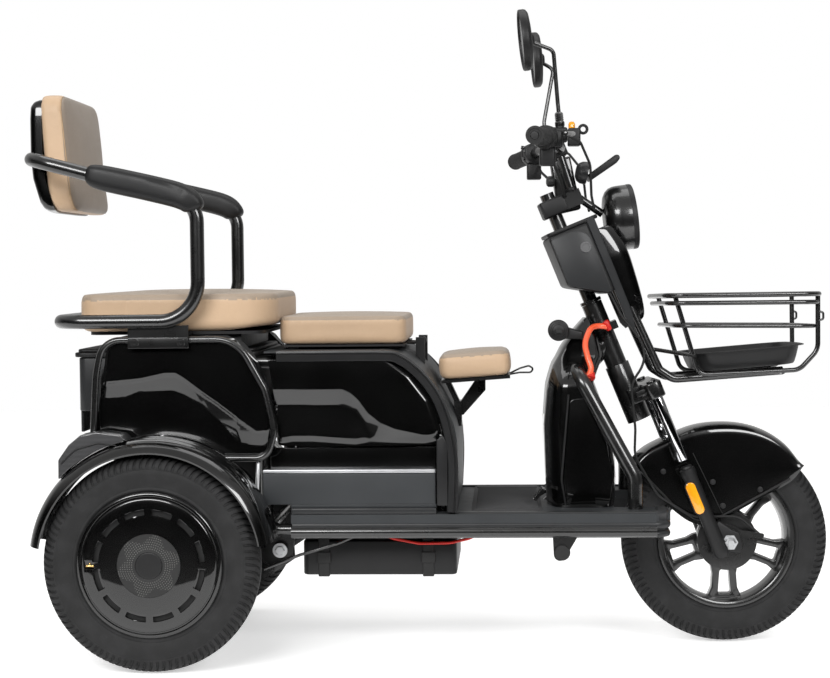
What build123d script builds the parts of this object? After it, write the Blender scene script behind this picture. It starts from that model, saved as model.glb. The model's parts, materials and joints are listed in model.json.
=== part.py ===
"""Electric three-wheel scooter: two driven rear wheels, raked front fork, three seats, front basket.

Millimetres and degrees. +X points forwards, +Y to the rider's left, +Z up. The floor is at Z = 0
and the origin is under the middle of the overall length and width.
"""

import os
from math import cos, radians, sin, tan

from build123d import *

os.makedirs("parts", exist_ok=True)

# ---------------------------------------------------------------- driving dimensions
WHEELBASE = 1110.0
FRONT_AXLE_X = 582.6  # puts the middle of the overall length at X = 0
TRACK_HALF = 296.0  # wheel mid-plane to the centre line
TYRE_R = 207.5  # 3.00-10 tyre
TYRE_HALF = 40.0
BEAD_R = 127.0
RIM_LIP_R = 138.0
TYRE_WALL = 8.0

RAKE = 22.0  # steering axis from the vertical
STEER_REST = 3.3  # the bars stand a little to the left
AXIS_BACK = 191.0  # steering axis behind the front axle, at the fork crown
CROWN_Z = 505.0
FORK_OFFSET = 42.0  # stanchions ahead of the steering axis
FORK_HALF = 80.0  # stanchion to the centre line
STEM_R = 14.3
HEAD_TUBE_R = 21.0
BEARING_GAP = 0.05  # radial running clearance at axles and the steering head

FLOOR_Z = 288.0  # top of the deck plate
FLOOR_HALF = 227.0
MAT_T = 3.0
BACKBONE_Z = 258.0
BACKBONE_R = 20.0

SHEET = 3.0  # moulded panel wall
PANEL_HALF = 232.0  # outside face of the side panels
SEAT_BOX_TOP = 603.0
ARM_TUBE_R = 13.5
ARM_TUBE_HALF = 257.5
HOOP_TUBE_R = 6.5
HOOP_HALF = 243.0

SEAT_Z = SEAT_BOX_TOP + 40.0  # underside of the rear cushion
RUN = 5.0  # clearance round moving pieces
SEAT = 0.3  # clearance between pieces that rest on each other

REAR_AXLE_X = FRONT_AXLE_X - WHEELBASE
AXLE_Z = TYRE_R
STEER_X = FRONT_AXLE_X - AXIS_BACK


# ---------------------------------------------------------------- helpers
def tube(points, radius, bends=0.0, close=False):
    """Round tube along straight runs joined by tangent arcs."""
    if len(points) == 2:
        path = Line(*points)
    else:
        path = FilletPolyline(*points, radius=bends, close=close)
    return sweep(Plane(origin=path @ 0, z_dir=path % 0) * Circle(radius), path)


def slab(outline, y_low, y_high):
    """Side-view outline (x, z) given thickness across the vehicle."""
    return extrude(Plane.XZ.offset(-y_high) * outline, y_high - y_low)


def area(points, corner=0.0):
    """Closed outline with its corners rounded."""
    face = make_face(Polyline(*points, close=True))
    return fillet(face.vertices(), corner) if corner else face


def block(x_low, x_high, y_low, y_high, z_low, z_high):
    """Plain box between limits."""
    size = (x_high - x_low, y_high - y_low, z_high - z_low)
    middle = ((x_low + x_high) / 2, (y_low + y_high) / 2, (z_low + z_high) / 2)
    return Pos(*middle) * Box(*size)


def cushion(x_low, x_high, half, z_low, z_high, corner, edge):
    """Plain padded block with rounded corners in plan and a softened top edge."""
    body = block(x_low, x_high, -half, half, z_low, z_high)
    body = fillet(body.edges().filter_by(Axis.Z), corner)
    return fillet(body.faces().sort_by(Axis.Z)[-1].edges(), edge)


def both(shape):
    """The piece and its mirror image on the other side."""
    return Part() + [shape, mirror(shape, about=Plane.XZ)]


def spun(points, y_offset=0.0, x=0.0, z=0.0):
    """Ring turned about an axle: points are (radius, along the axle)."""
    ring = revolve(make_face(Polyline(*points, close=True)), Axis.Y)
    return Pos(x, y_offset, z) * ring


def round_bar(radius, x, z, y_low, y_high):
    """Cylinder across the vehicle between two sideways limits."""
    return Pos(x, (y_low + y_high) / 2, z) * Rot(90, 0, 0) * Cylinder(radius, y_high - y_low)


def along_axis(forward, side, up):
    """World point from distances ahead of, beside and along the steering axis."""
    rake = radians(RAKE)
    x = STEER_X + forward * cos(rake) - up * sin(rake)
    z = CROWN_Z + forward * sin(rake) + up * cos(rake)
    return (x, side, z)


def steer_tilt(shape):
    """Stand a shape drawn about +Z on the steering axis."""
    return Plane(
        origin=(STEER_X, 0, CROWN_Z),
        x_dir=(cos(radians(RAKE)), 0, sin(radians(RAKE))),
        z_dir=(-sin(radians(RAKE)), 0, cos(radians(RAKE))),
    ) * shape


STEER_AXIS = Axis((STEER_X, 0, CROWN_Z), (-sin(radians(RAKE)), 0, cos(radians(RAKE))))


def steered(shape):
    """Turn a steering piece to where the bars rest."""
    return shape.rotate(STEER_AXIS, STEER_REST)


# ---------------------------------------------------------------- frame
HEAD_LOW, HEAD_HIGH = 12.0, 195.0
RAIL_R = 11.0
RAIL_HALF = 222.0
RAIL_Z = 253.0
RAIL_BACK = REAR_AXLE_X + 256.0
RAIL_FRONT = FRONT_AXLE_X - 152.0
BOX_RAIL_HALF = 185.0
BOX_RAIL_R = 12.5
SEAT_POST_X = REAR_AXLE_X + 548.0
FOOT_X = FRONT_AXLE_X - 330.0
PIVOT_X = REAR_AXLE_X + 230.0
PIVOT_Z = 214.0
PIVOT_R = 8.0
SHOCK_HALF = 146.0
SHOCK_TOP_Z = SEAT_BOX_TOP - 133.0
CROSS_R = 10.0


def down_tube(grow=0.0):
    """Down tube from the steering head, bent under the deck into the backbone."""
    points = [
        along_axis(-4, 0, 110),
        (FRONT_AXLE_X - 310.0, 0, 520),
        (FOOT_X, 0, BACKBONE_Z),
        (REAR_AXLE_X + 245.0, 0, BACKBONE_Z),
    ]
    return tube(points, BACKBONE_R + grow, [90, 70])


def upright(radius, low, high):
    """Cylinder on the steering axis between two heights along it."""
    return steer_tilt(Pos(0, 0, (low + high) / 2) * Cylinder(radius, high - low))


def main_frame():
    """Welded steel frame: head tube, down tube, backbone, floor rails and seat hoops."""
    frame = upright(HEAD_TUBE_R, HEAD_LOW, HEAD_HIGH) + down_tube()
    rails = tube([(RAIL_BACK, RAIL_HALF, RAIL_Z), (RAIL_FRONT, RAIL_HALF, RAIL_Z)], RAIL_R)
    frame += [rails, mirror(rails, about=Plane.XZ)]
    for x in (RAIL_BACK + 20, SEAT_POST_X, FOOT_X - 15, FRONT_AXLE_X - 262.0):
        frame += block(x - 12, x + 12, -RAIL_HALF, RAIL_HALF, RAIL_Z - 7, FLOOR_Z - SHEET - SEAT)
    frame += tube(
        [(FOOT_X + 5, 0, BACKBONE_Z - 4), (FRONT_AXLE_X - 258.0, 0, BACKBONE_Z - 4)], CROSS_R + 2
    )
    hoop = tube(
        [
            (SEAT_POST_X, BOX_RAIL_HALF, RAIL_Z),
            (SEAT_POST_X, BOX_RAIL_HALF, SEAT_BOX_TOP - 148),
            (SEAT_POST_X - 98, BOX_RAIL_HALF, SEAT_BOX_TOP - 22),
            (REAR_AXLE_X - 110, BOX_RAIL_HALF, SEAT_BOX_TOP - 22),
            (REAR_AXLE_X - 110, BOX_RAIL_HALF, SHOCK_TOP_Z),
            (REAR_AXLE_X + 205, BOX_RAIL_HALF, SHOCK_TOP_Z),
            (REAR_AXLE_X + 205, BOX_RAIL_HALF, RAIL_Z),
        ],
        BOX_RAIL_R,
        [25, 50, 50, 40, 30, 40, 25],
        close=True,
    )
    frame += [hoop, mirror(hoop, about=Plane.XZ)]
    for x, z in (
        (REAR_AXLE_X - 100, TRUNK_LOW - CROSS_R - SEAT),
        (REAR_AXLE_X + 165, TRUNK_LOW - CROSS_R - SEAT),
        (SEAT_POST_X, 400),
        (PIVOT_X - 25, RAIL_Z),
    ):
        frame += tube([(x, -BOX_RAIL_HALF, z), (x, BOX_RAIL_HALF, z)], CROSS_R)
    ear = slab(
        area([(PIVOT_X - 24, 198), (PIVOT_X + 22, 198), (PIVOT_X + 30, 262), (PIVOT_X - 36, 262)]),
        BOX_RAIL_HALF - 8,
        BOX_RAIL_HALF - 2,
    )
    ear -= round_bar(PIVOT_R + SEAT, PIVOT_X, PIVOT_Z, 150, 220)
    frame += [ear, mirror(ear, about=Plane.XZ)]
    tower = slab(
        area(
            [
                (REAR_AXLE_X - 60, SHOCK_TOP_Z - 15),
                (REAR_AXLE_X - 20, SHOCK_TOP_Z - 15),
                (REAR_AXLE_X - 20, TRUNK_LOW - 2),
                (REAR_AXLE_X - 60, TRUNK_LOW - 2),
            ]
        ),
        SHOCK_HALF + 16,
        BOX_RAIL_HALF,
    )
    frame += [tower, mirror(tower, about=Plane.XZ)]
    frame += steer_tilt(block(12, 30, -62, -15, 132, 148))
    x = FRONT_AXLE_X - 337
    stand = slab(area([(x - 14, 250), (x + 38, 250), (x + 12, 206), (x - 12, 209)]), -222, -212)
    stand += round_bar(12, x, 209, -224, -204)
    frame += [stand, mirror(stand, about=Plane.XZ)]
    return frame - steer_tilt(Cylinder(STEM_R + BEARING_GAP, 460))


# ---------------------------------------------------------------- floor
FLOOR_BACK = REAR_AXLE_X + 256.0
FLOOR_FRONT = FRONT_AXLE_X - 124.0
FLOOR_NOTCH = FRONT_AXLE_X - 228.0
NOTCH_HALF = 132.0
FLANGE_H = 18.0


def floor_outline(inset=0.0):
    """Plan of the deck, notched in front so that the wheel can turn."""
    back, front = FLOOR_BACK + inset, FLOOR_FRONT - inset
    side, notch = FLOOR_HALF - inset, NOTCH_HALF + inset
    throat = FLOOR_NOTCH - inset
    return Polyline(
        (back, -side),
        (front - 30, -side),
        (front, -side + 32),
        (front, -notch),
        (throat, -notch),
        (throat, notch),
        (front, notch),
        (front, side - 32),
        (front - 30, side),
        (back, side),
        close=True,
    )


def floor_board():
    """Pressed deck plate with a flange turned down all round."""
    outer = extrude(Plane.XY.offset(FLOOR_Z - FLANGE_H) * make_face(floor_outline()), FLANGE_H)
    inner = extrude(
        Plane.XY.offset(FLOOR_Z - FLANGE_H) * make_face(floor_outline(SHEET)), FLANGE_H - SHEET
    )
    deck = outer - inner - down_tube(1.0)
    for side in (-1, 1):
        post = Pos(SEAT_POST_X, side * BOX_RAIL_HALF, FLOOR_Z)
        deck -= post * Cylinder(BOX_RAIL_R + 1, 3 * FLANGE_H)
    return deck


MAT_BACK = SEAT_POST_X + 55.0
SHIELD_BACK = FRONT_AXLE_X - 362.0


def floor_mat():
    """Ribbed rubber mat between the seat box and the leg shield."""
    base = block(MAT_BACK, SHIELD_BACK - 8, -FLOOR_HALF + 8, FLOOR_HALF - 8, FLOOR_Z, FLOOR_Z + MAT_T)
    return base


# ---------------------------------------------------------------- leg shield
SHIELD_HALF = 140.0
NECK_HALF = 46.0


def shield_side(inset=0.0):
    """Side outline of the leg shield and its neck."""
    f = FRONT_AXLE_X
    floor = FLOOR_Z + SEAT
    return make_face(
        Polyline(
            (f - 357 + inset, floor),
            (f - 363 + inset, 343),
            (f - 365 + inset, 441),
            (f - 358 + inset, 520),
            (f - 346 + inset, 565),
            (f - 322 + inset, 612 - inset),
            (f - 284 + inset, 658 - inset),
            (f - 266 - inset, 658 - inset),
            (f - 240 - inset, 585),
            (f - 264 - inset, 532),
            (f - 242 - inset, 475),
            (f - 228 - inset, 400),
            (f - 232 - inset, floor),
            close=True,
        )
    )


def shield_front(inset=0.0):
    """Front outline of the leg shield: wide at the floor, drawn in to the neck."""
    half, neck = SHIELD_HALF - inset, NECK_HALF - inset
    floor = FLOOR_Z + SEAT
    return make_face(
        Polyline(
            (-half, floor),
            (half, floor),
            (half, 535),
            (neck + 40, 590),
            (neck, 662 - inset),
            (-neck, 662 - inset),
            (-neck - 40, 590),
            (-half, 535),
            close=True,
        )
    )


def shield_solid(inset=0.0):
    """Leg shield as a block, pulled in by an inset."""
    side = slab(shield_side(inset), -SHIELD_HALF, SHIELD_HALF)
    front = extrude(
        Plane.YZ.offset(FRONT_AXLE_X - 400) * shield_front(inset), 240
    )
    return side & front


def leg_shield():
    """Hollow moulded leg shield, open at the floor and round the frame tubes."""
    shell = shield_solid() - shield_solid(SHEET)
    shell -= down_tube(SEAT)
    shell -= upright(HEAD_TUBE_R + SEAT, HEAD_LOW - 20, HEAD_HIGH)
    bar = tube(guard_points(), GUARD_R + 1.0, GUARD_BENDS)
    shell -= [bar, mirror(bar, about=Plane.XZ)]
    return shell


GUARD_R = 14.5
GUARD_BENDS = [40, 45]


def guard_points():
    """Centre line of one side of the leg guard, from the neck down to the deck."""
    f = FRONT_AXLE_X
    return [
        (f - 290, 8, 560),
        (f - 300, 128, 556),
        (f - 188, 157, 348),
        (f - 188, 157, FLOOR_Z + SEAT),
    ]


def leg_guard():
    """Bent tubes that guard the leg shield, one on each side of the neck."""
    side = tube(guard_points(), GUARD_R, GUARD_BENDS)
    return both(side - down_tube(SEAT))


def foot_pedal():
    """Brake pedal in front of the rider's right foot."""
    f = FRONT_AXLE_X
    pad = slab(area([(f - 386, 303), (f - 368, 324), (f - 363, 320), (f - 381, 299)]), -124, -82)
    arm = slab(area([(f - 376, 311), (f - 352, 326), (f - 352, 319), (f - 373, 306)]), -107, -99)
    return pad + arm - shield_solid(-SEAT)


def ignition_lock():
    """Lock barrel beside the neck of the leg shield, with its mounting foot."""
    x, z = FRONT_AXLE_X - 333, 634
    barrel = round_bar(21, x, z, -88, -66)
    body = barrel + round_bar(13, x, z, -92, -86)
    foot = [(x, z + 12), (x + 34, z + 1), (x + 50, z - 2), (x + 50, z - 18), (x, z - 16)]
    body += slab(area(foot, 4), -82, -50)
    return body - shield_solid(-SEAT)


CONDUIT_R = 5.0


def lock_conduit():
    """Sheathed lead from the socket on the head tube round to the leg shield's shoulder."""
    f = FRONT_AXLE_X
    points = [
        along_axis(12 - CONDUIT_R / 2, -56, 140),
        along_axis(-10, -60, 154),
        (f - 270, -63, 628),
        (f - 285, -78, 602),
        (f - 278, -98, 574),
        (f - 272, -120, 545),
    ]
    return tube(points, CONDUIT_R, [10, 14, 14, 14]) - shield_solid(-SEAT)


# ---------------------------------------------------------------- seat box
BOX_BACK = REAR_AXLE_X + 205.0
BOX_FRONT = REAR_AXLE_X + 576.0
BAND_T = 20.0


def band_outline(inset=0.0):
    """Side outline of the seat box cover, rounded over at the front."""
    r = REAR_AXLE_X
    lines = Polyline((r + 204, SEAT_BOX_TOP - inset), (r + 432, SEAT_BOX_TOP - inset))
    front = Spline(
        (r + 432, SEAT_BOX_TOP - inset),
        (r + 508 - inset * 0.75, SEAT_BOX_TOP - 33 - inset * 0.75),
        (r + 561 - inset, SEAT_BOX_TOP - 118 - inset * 0.3),
        (r + 579 - inset, 374),
        tangents=((1, 0), (0, -1)),
    )
    foot = Polyline(
        (r + 579 - inset, 374),
        (r + 576 - inset, FLOOR_Z + SEAT),
        (r + 204, FLOOR_Z + SEAT),
        (r + 204, SEAT_BOX_TOP - inset),
    )
    return make_face(lines + front + foot)


OPEN_BACK = REAR_AXLE_X + 232.0
OPEN_FRONT = REAR_AXLE_X + 425.0
OPEN_HALF = 145.0


def seat_box_cover():
    """Curved cover over the seat box, with the storage opening under the driver's cushion."""
    half = PANEL_HALF - 8 - SEAT
    cover = slab(band_outline() - band_outline(SHEET), -half, half)
    cover -= block(
        REAR_AXLE_X + 190, REAR_AXLE_X + 207, -PANEL_HALF, PANEL_HALF, FLOOR_Z, SEAT_BOX_TOP + 5
    )
    floor_strip = block(
        REAR_AXLE_X + 200, BOX_FRONT - 6, -PANEL_HALF, PANEL_HALF, FLOOR_Z, FLOOR_Z + SHEET + 1
    )
    cover -= floor_strip
    cover -= block(OPEN_BACK, OPEN_FRONT, -OPEN_HALF, OPEN_HALF, SEAT_BOX_TOP - 43, SEAT_BOX_TOP + 5)
    return cover


def side_frames():
    """Flat channel that borders each side of the seat box."""
    ring = slab(band_outline(-1.0) - band_outline(BAND_T), PANEL_HALF - 8, PANEL_HALF + 2)
    r = REAR_AXLE_X
    post = slab(
        area([(r + 538, 304), (r + 560, 304), (r + 560, 420), (r + 548, 440), (r + 538, 430)]),
        PANEL_HALF - 8,
        PANEL_HALF + 2,
    )
    ring += post
    ring -= block(r + 190, r + 232, 0, 300, FLOOR_Z - 2, SEAT_BOX_TOP + 5)
    ring -= block(r + 200, r + 538, 0, 300, FLOOR_Z - 2, FLOOR_Z + 40)
    return both(ring)


STORE_FLOOR = SEAT_BOX_TOP - 188.0


def storage_box():
    """Open-topped tray under the driver's seat."""
    rim = SEAT_BOX_TOP - SHEET - SEAT
    outer = block(OPEN_BACK - 6, OPEN_FRONT + 6, -OPEN_HALF - 6, OPEN_HALF + 6, STORE_FLOOR, rim)
    inner = block(
        OPEN_BACK, OPEN_FRONT, -OPEN_HALF, OPEN_HALF, STORE_FLOOR + SHEET, SEAT_BOX_TOP
    )
    return outer - inner


def mid_panels():
    """Glossy bulged panel inside each side channel."""
    r = REAR_AXLE_X
    outline = area(
        [
            (r + 215, SEAT_BOX_TOP - 15),
            (r + 436, SEAT_BOX_TOP - 15),
            (r + 492, SEAT_BOX_TOP - 41),
            (r + 530, SEAT_BOX_TOP - 91),
            (r + 550, 450),
            (r + 545, 432),
            (r + 516, 421),
            (r + 255, 419),
            (r + 240, 432),
        ],
        6,
    )
    panel = slab(outline, PANEL_HALF - 8 - SEAT - SHEET, PANEL_HALF - 8 - SEAT)
    return both(panel)


def lower_panels():
    """Flat panels below the seat box, with the step above them."""
    r = REAR_AXLE_X
    panel = slab(
        area([(r + 200, 306), (r + 537, 306), (r + 537, 374), (r + 200, 374)]),
        PANEL_HALF - 10,
        PANEL_HALF - 10 + SHEET,
    )
    recess = slab(
        area([(r + 215, 374), (r + 537, 374), (r + 537, 416), (r + 215, 416)]),
        PANEL_HALF - 24,
        PANEL_HALF - 24 + SHEET,
    )
    ledge = block(r + 215, r + 537, PANEL_HALF - 24, PANEL_HALF - 10, 374 - SHEET, 374)
    lip = block(r + 256, r + 537, PANEL_HALF - 26, PANEL_HALF - 2, FLOOR_Z + SEAT, FLOOR_Z + 14)
    foot = block(r + 256, r + 537, PANEL_HALF - 12, PANEL_HALF - 7, FLOOR_Z + 12, 307)
    side = panel + recess + ledge + lip + foot
    return both(side)


BATTERY_BACK = REAR_AXLE_X + 270.0
BATTERY_FRONT = REAR_AXLE_X + 573.0
BATTERY_HALF = 150.0
BATTERY_LOW = 158.0


def battery_box():
    """Closed battery case hung below the deck, with two straps."""
    lid = BACKBONE_Z - BACKBONE_R - SEAT
    case = block(BATTERY_BACK, BATTERY_FRONT, -BATTERY_HALF, BATTERY_HALF, BATTERY_LOW, lid)
    case = fillet(case.edges().filter_by(Axis.Z), 8)
    for x in (BATTERY_BACK + 30, BATTERY_BACK + 236):
        strap = block(x, x + 22, -BATTERY_HALF - 2, BATTERY_HALF + 2, BATTERY_LOW - 3, 232)
        case += strap
    return case


LEAD_R = 3.0


def battery_lead():
    """Battery lead lying on the case, led inwards to the backbone."""
    y, z = -BATTERY_HALF + 10, BACKBONE_Z - BACKBONE_R + LEAD_R
    points = [
        (BATTERY_BACK + 12, y, z),
        (BATTERY_FRONT - 60, y, z),
        (BATTERY_FRONT + 20, y + 80, z),
        (BATTERY_FRONT + 44, -4, z),
    ]
    return tube(points, LEAD_R, [60, 60]) - down_tube(SEAT)


# ---------------------------------------------------------------- rear body
FENDER_OUT = 236.0
FENDER_LIP = 212.0
FENDER_INNER_Y = HOOP_HALF - 9.0
FENDER_OUTER_Y = TRACK_HALF + 48.0


def fender_section(grow=0.0):
    """Cross-section of a rear fender: (radius, across), flat crown rolled down to the lip."""
    r_out, r_in = FENDER_OUT + grow, FENDER_OUT - SHEET
    y_in, y_out = FENDER_INNER_Y, FENDER_OUTER_Y
    return make_face(
        Polyline(
            (r_in, y_in),
            (r_out, y_in),
            (r_out, y_out - 34),
            (r_out - 5, y_out - 18),
            (r_out - 13, y_out - 5),
            (FENDER_LIP, y_out),
            (FENDER_LIP, y_out - SHEET),
            (r_out - 15, y_out - SHEET - 5),
            (r_in - 6, y_out - 20),
            (r_in, y_out - 36),
            close=True,
        )
    )


def rear_fender():
    """Arched fender over a rear wheel, with its inner wall down to the body."""
    sweep_angle = 161.0
    arch = revolve(fender_section(), Axis.Y, sweep_angle)
    arch = arch.rotate(Axis.Y, -171.0)
    wall = revolve(
        make_face(
            Polyline(
                (TYRE_R + 8, FENDER_INNER_Y),
                (FENDER_OUT - SHEET, FENDER_INNER_Y),
                (FENDER_OUT - SHEET, FENDER_INNER_Y + SHEET),
                (TYRE_R + 8, FENDER_INNER_Y + SHEET),
                close=True,
            )
        ),
        Axis.Y,
        sweep_angle,
    ).rotate(Axis.Y, -171.0)
    return Pos(REAR_AXLE_X, 0, AXLE_Z) * (arch + wall)


LAMP_Y = (HOOP_HALF + HOOP_TUBE_R + SEAT, 318.0)


def tail_lamps():
    """Wedge lamps on the rear shoulders of the fenders."""
    r = REAR_AXLE_X
    wedge = slab(
        area(
            [
                (r - 172, 372),
                (r - 171, 405),
                (r - 152, 430),
                (r - 132, 448),
                (r - 100, 455),
                (r - 55, 449),
                (r - 44, 440),
                (r - 60, 400),
                (r - 120, 330),
            ]
        ),
        *LAMP_Y,
    )
    wedge -= round_bar(FENDER_OUT + SEAT, r, AXLE_Z, 0, 400)
    return both(wedge)


HOOP_TOP_Z = SEAT_Z - 13.0


def hoop_points():
    """Centre line of a side hoop, from the fender up and round to the floor rail."""
    r = REAR_AXLE_X
    y = HOOP_HALF
    return [
        (r - 124, y, 452),
        (r - 98, y, SEAT_Z - 14),
        (r + 160, y, HOOP_TOP_Z),
        (r + 236, y, 455),
        (r + 214, y, 400),
        (r + 160, y, 400),
    ]


def rear_hoops():
    """Thin bent tube round each rear side panel."""
    hoop = tube(hoop_points(), HOOP_TUBE_R, [50, 55, 40, 22])
    return both(hoop)


def rear_panels():
    """Bulged glossy panel inside each hoop, cut round the fender."""
    r = REAR_AXLE_X
    outline = area(
        [
            (r - 122, 442),
            (r - 96, HOOP_TOP_Z - 3),
            (r + 158, HOOP_TOP_Z - 1),
            (r + 233, 455),
            (r + 212, 402),
            (r + 120, 402),
            (r + 60, 440),
        ],
        14,
    )
    outside = HOOP_HALF - HOOP_TUBE_R - SEAT
    panel = slab(outline, outside - SHEET, outside)
    panel -= round_bar(FENDER_OUT + SEAT, r, AXLE_Z, 0, 400)
    return both(panel)


TRUNK_BACK = REAR_AXLE_X - 168.0
TRUNK_FRONT = REAR_AXLE_X + 185.0
TRUNK_HALF = 170.0
TRUNK_LOW = SEAT_BOX_TOP - 117.0
TRUNK_TOP = SEAT_BOX_TOP - 11.0


def trunk():
    """Open-topped luggage box between the rear hoops."""
    outer = block(TRUNK_BACK, TRUNK_FRONT, -TRUNK_HALF, TRUNK_HALF, TRUNK_LOW, TRUNK_TOP)
    outer = fillet(outer.edges().filter_by(Axis.Z), 14)
    inner = block(
        TRUNK_BACK + SHEET,
        TRUNK_FRONT - SHEET,
        -TRUNK_HALF + SHEET,
        TRUNK_HALF - SHEET,
        TRUNK_LOW + SHEET,
        TRUNK_TOP + 1,
    )
    inner = fillet(inner.edges().filter_by(Axis.Z), 11)
    half = TRUNK_HALF - 14
    skirt = block(TRUNK_BACK, TRUNK_BACK + SHEET, -half, half, TRUNK_LOW - 43, TRUNK_LOW + 1)
    return outer - inner + skirt


def trunk_lid():
    """Flat lid of the luggage box with an overhanging rim."""
    half = TRUNK_HALF + 7
    lid = block(TRUNK_BACK - 7, TRUNK_FRONT + 6, -half, half, TRUNK_TOP + SEAT, TRUNK_TOP + 16)
    return fillet(lid.edges().filter_by(Axis.Z), 16)


# ---------------------------------------------------------------- rear seat
REAR_SEAT_BACK = REAR_AXLE_X - 155.0
REAR_SEAT_FRONT = REAR_AXLE_X + 228.0
REAR_SEAT_HALF = 226.0
REAR_SEAT_TOP = SEAT_Z + 76.0
PAN_T = 6.0


def rear_seat_cushion():
    """Wide cushion of the rear bench."""
    return cushion(
        REAR_SEAT_BACK, REAR_SEAT_FRONT, REAR_SEAT_HALF, SEAT_Z + SEAT, REAR_SEAT_TOP, 40, 22
    )


def rear_seat_pan():
    """Seat base plate on two cross rails over the luggage box."""
    half = REAR_SEAT_HALF - 14
    plate = block(REAR_SEAT_BACK + 18, REAR_SEAT_FRONT - 22, -half, half, SEAT_Z - PAN_T, SEAT_Z)
    plate = fillet(plate.edges().filter_by(Axis.Z), 30)
    low = TRUNK_TOP + 16 + SEAT
    for x in (REAR_AXLE_X - 60, REAR_AXLE_X + 130):
        plate += block(x, x + 30, -BOX_RAIL_HALF - 10, BOX_RAIL_HALF + 10, low, SEAT_Z - PAN_T)
    return plate


ARM_Z = SEAT_Z + 21.0
POST_X = REAR_AXLE_X + 87.0
KNEE_Z = SEAT_Z + 246.0
ARM_RISE = tan(radians(15.2))
ARM_BACK_X = REAR_AXLE_X - 243.0
ARM_BENDS = [75, 48, 60, 60, 48, 75, 55, 55]


def arm_points():
    """Closed run of the arm tube: under the seat, up the posts, back round the backrest."""
    y = ARM_TUBE_HALF
    back_z = KNEE_Z + (POST_X - ARM_BACK_X) * ARM_RISE
    return [
        (POST_X, y, ARM_Z),
        (POST_X, y, KNEE_Z),
        (ARM_BACK_X, y, back_z),
        (ARM_BACK_X, -y, back_z),
        (POST_X, -y, KNEE_Z),
        (POST_X, -y, ARM_Z),
        (REAR_AXLE_X - 189, -y, ARM_Z),
        (REAR_AXLE_X - 189, y, ARM_Z),
    ]


def arm_frame():
    """One continuous bent tube that carries both armrests and the backrest."""
    ring = tube(arm_points(), ARM_TUBE_R, ARM_BENDS, close=True)
    r = REAR_AXLE_X
    cheek = HOOP_HALF + HOOP_TUBE_R + SEAT
    tab_z = HOOP_TOP_Z + HOOP_TUBE_R + SEAT
    bracket = block(r - 50, r + 67, cheek, cheek + 6, SEAT_Z - 31, ARM_Z - 8)
    bracket += block(r - 50, r + 67, REAR_SEAT_HALF - 14 + SEAT, cheek + 6, tab_z, SEAT_Z)
    return ring + [bracket, mirror(bracket, about=Plane.XZ)]


def armrest_pads():
    """Moulded pads clamped over the front half of each arm."""
    r = REAR_AXLE_X
    outline = area(
        [
            (r - 136, 329),
            (r - 100, 323),
            (r - 2, 307),
            (r + 66, 293),
            (r + 92, 271),
            (r + 104, 241),
            (r + 102, 229),
            (r + 60, 241),
            (r + 30, 251),
            (r - 90, 283),
            (r - 134, 295),
        ],
    )
    pad = Pos(0, 0, SEAT_Z) * slab(outline, ARM_TUBE_HALF - 24, ARM_TUBE_HALF + 24)
    pad = fillet(pad.edges().filter_by(Axis.Y, reverse=True), 6)
    y = ARM_TUBE_HALF
    hollow = tube(
        [
            (POST_X, y, ARM_Z + 80),
            (POST_X, y, KNEE_Z),
            (ARM_BACK_X, y, KNEE_Z + (POST_X - ARM_BACK_X) * ARM_RISE),
        ],
        ARM_TUBE_R + SEAT,
        48,
    )
    return both(pad - hollow)


BACK_HALF = 155.0


def back_face(points):
    """Side outline of a backrest layer."""
    r = REAR_AXLE_X
    return make_face(Polyline(*[(r + x, SEAT_Z + z) for x, z in points], close=True))


def backrest_cushion():
    """Backrest cushion, leaning a little forwards at its foot."""
    pad = slab(
        back_face([(-233, 459), (-231, 342), (-216, 239), (-166, 237), (-176, 342), (-196, 463)]),
        -BACK_HALF,
        BACK_HALF,
    )
    return pad - tube(arm_points(), ARM_TUBE_R + SEAT, ARM_BENDS, close=True)


def backrest_shell():
    """Curved back panel behind the cushion, hollowed where the arm tube crosses."""
    shell = slab(
        back_face(
            [
                (-233.3, 457),
                (-254, 457),
                (-263, 439),
                (-263, 317),
                (-258, 257),
                (-240, 233),
                (-214, 233),
                (-214, 238),
                (-238, 241),
                (-252, 262),
                (-257, 342),
                (-257, 432),
                (-249, 449),
                (-233.3, 452),
            ]
        ),
        -BACK_HALF + 4,
        BACK_HALF - 4,
    )
    return shell - tube(arm_points(), ARM_TUBE_R + SEAT, ARM_BENDS, close=True)


# ---------------------------------------------------------------- driver's seat and child seat
DRIVER_BACK = REAR_AXLE_X + 234.0
DRIVER_FRONT = REAR_AXLE_X + 478.0
DRIVER_HALF = 152.0
DRIVER_HINGE_X = REAR_AXLE_X + 500.0
DRIVER_HINGE_Z = SEAT_BOX_TOP + 9.0
HINGE_PIN_R = 4.0


def driver_cushion():
    """Driver's cushion on the lifting base."""
    low = SEAT_BOX_TOP + 9 + SEAT
    return cushion(DRIVER_BACK, DRIVER_FRONT, DRIVER_HALF, low, SEAT_BOX_TOP + 68, 30, 20)


def driver_seat_base():
    """Lifting base plate with its hinge ears at the front."""
    low, high = SEAT_BOX_TOP + RUN, SEAT_BOX_TOP + 9
    plate = block(DRIVER_BACK + 4, DRIVER_FRONT - 4, -DRIVER_HALF + 6, DRIVER_HALF - 6, low, high)
    tongue = block(DRIVER_FRONT - 20, DRIVER_HINGE_X, 30, 50, low, high)
    ear = tongue + round_bar(9, DRIVER_HINGE_X, DRIVER_HINGE_Z, 30, 50)
    ear -= round_bar(HINGE_PIN_R + BEARING_GAP, DRIVER_HINGE_X, DRIVER_HINGE_Z, 20, 60)
    return plate + ear + mirror(ear, about=Plane.XZ)


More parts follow.
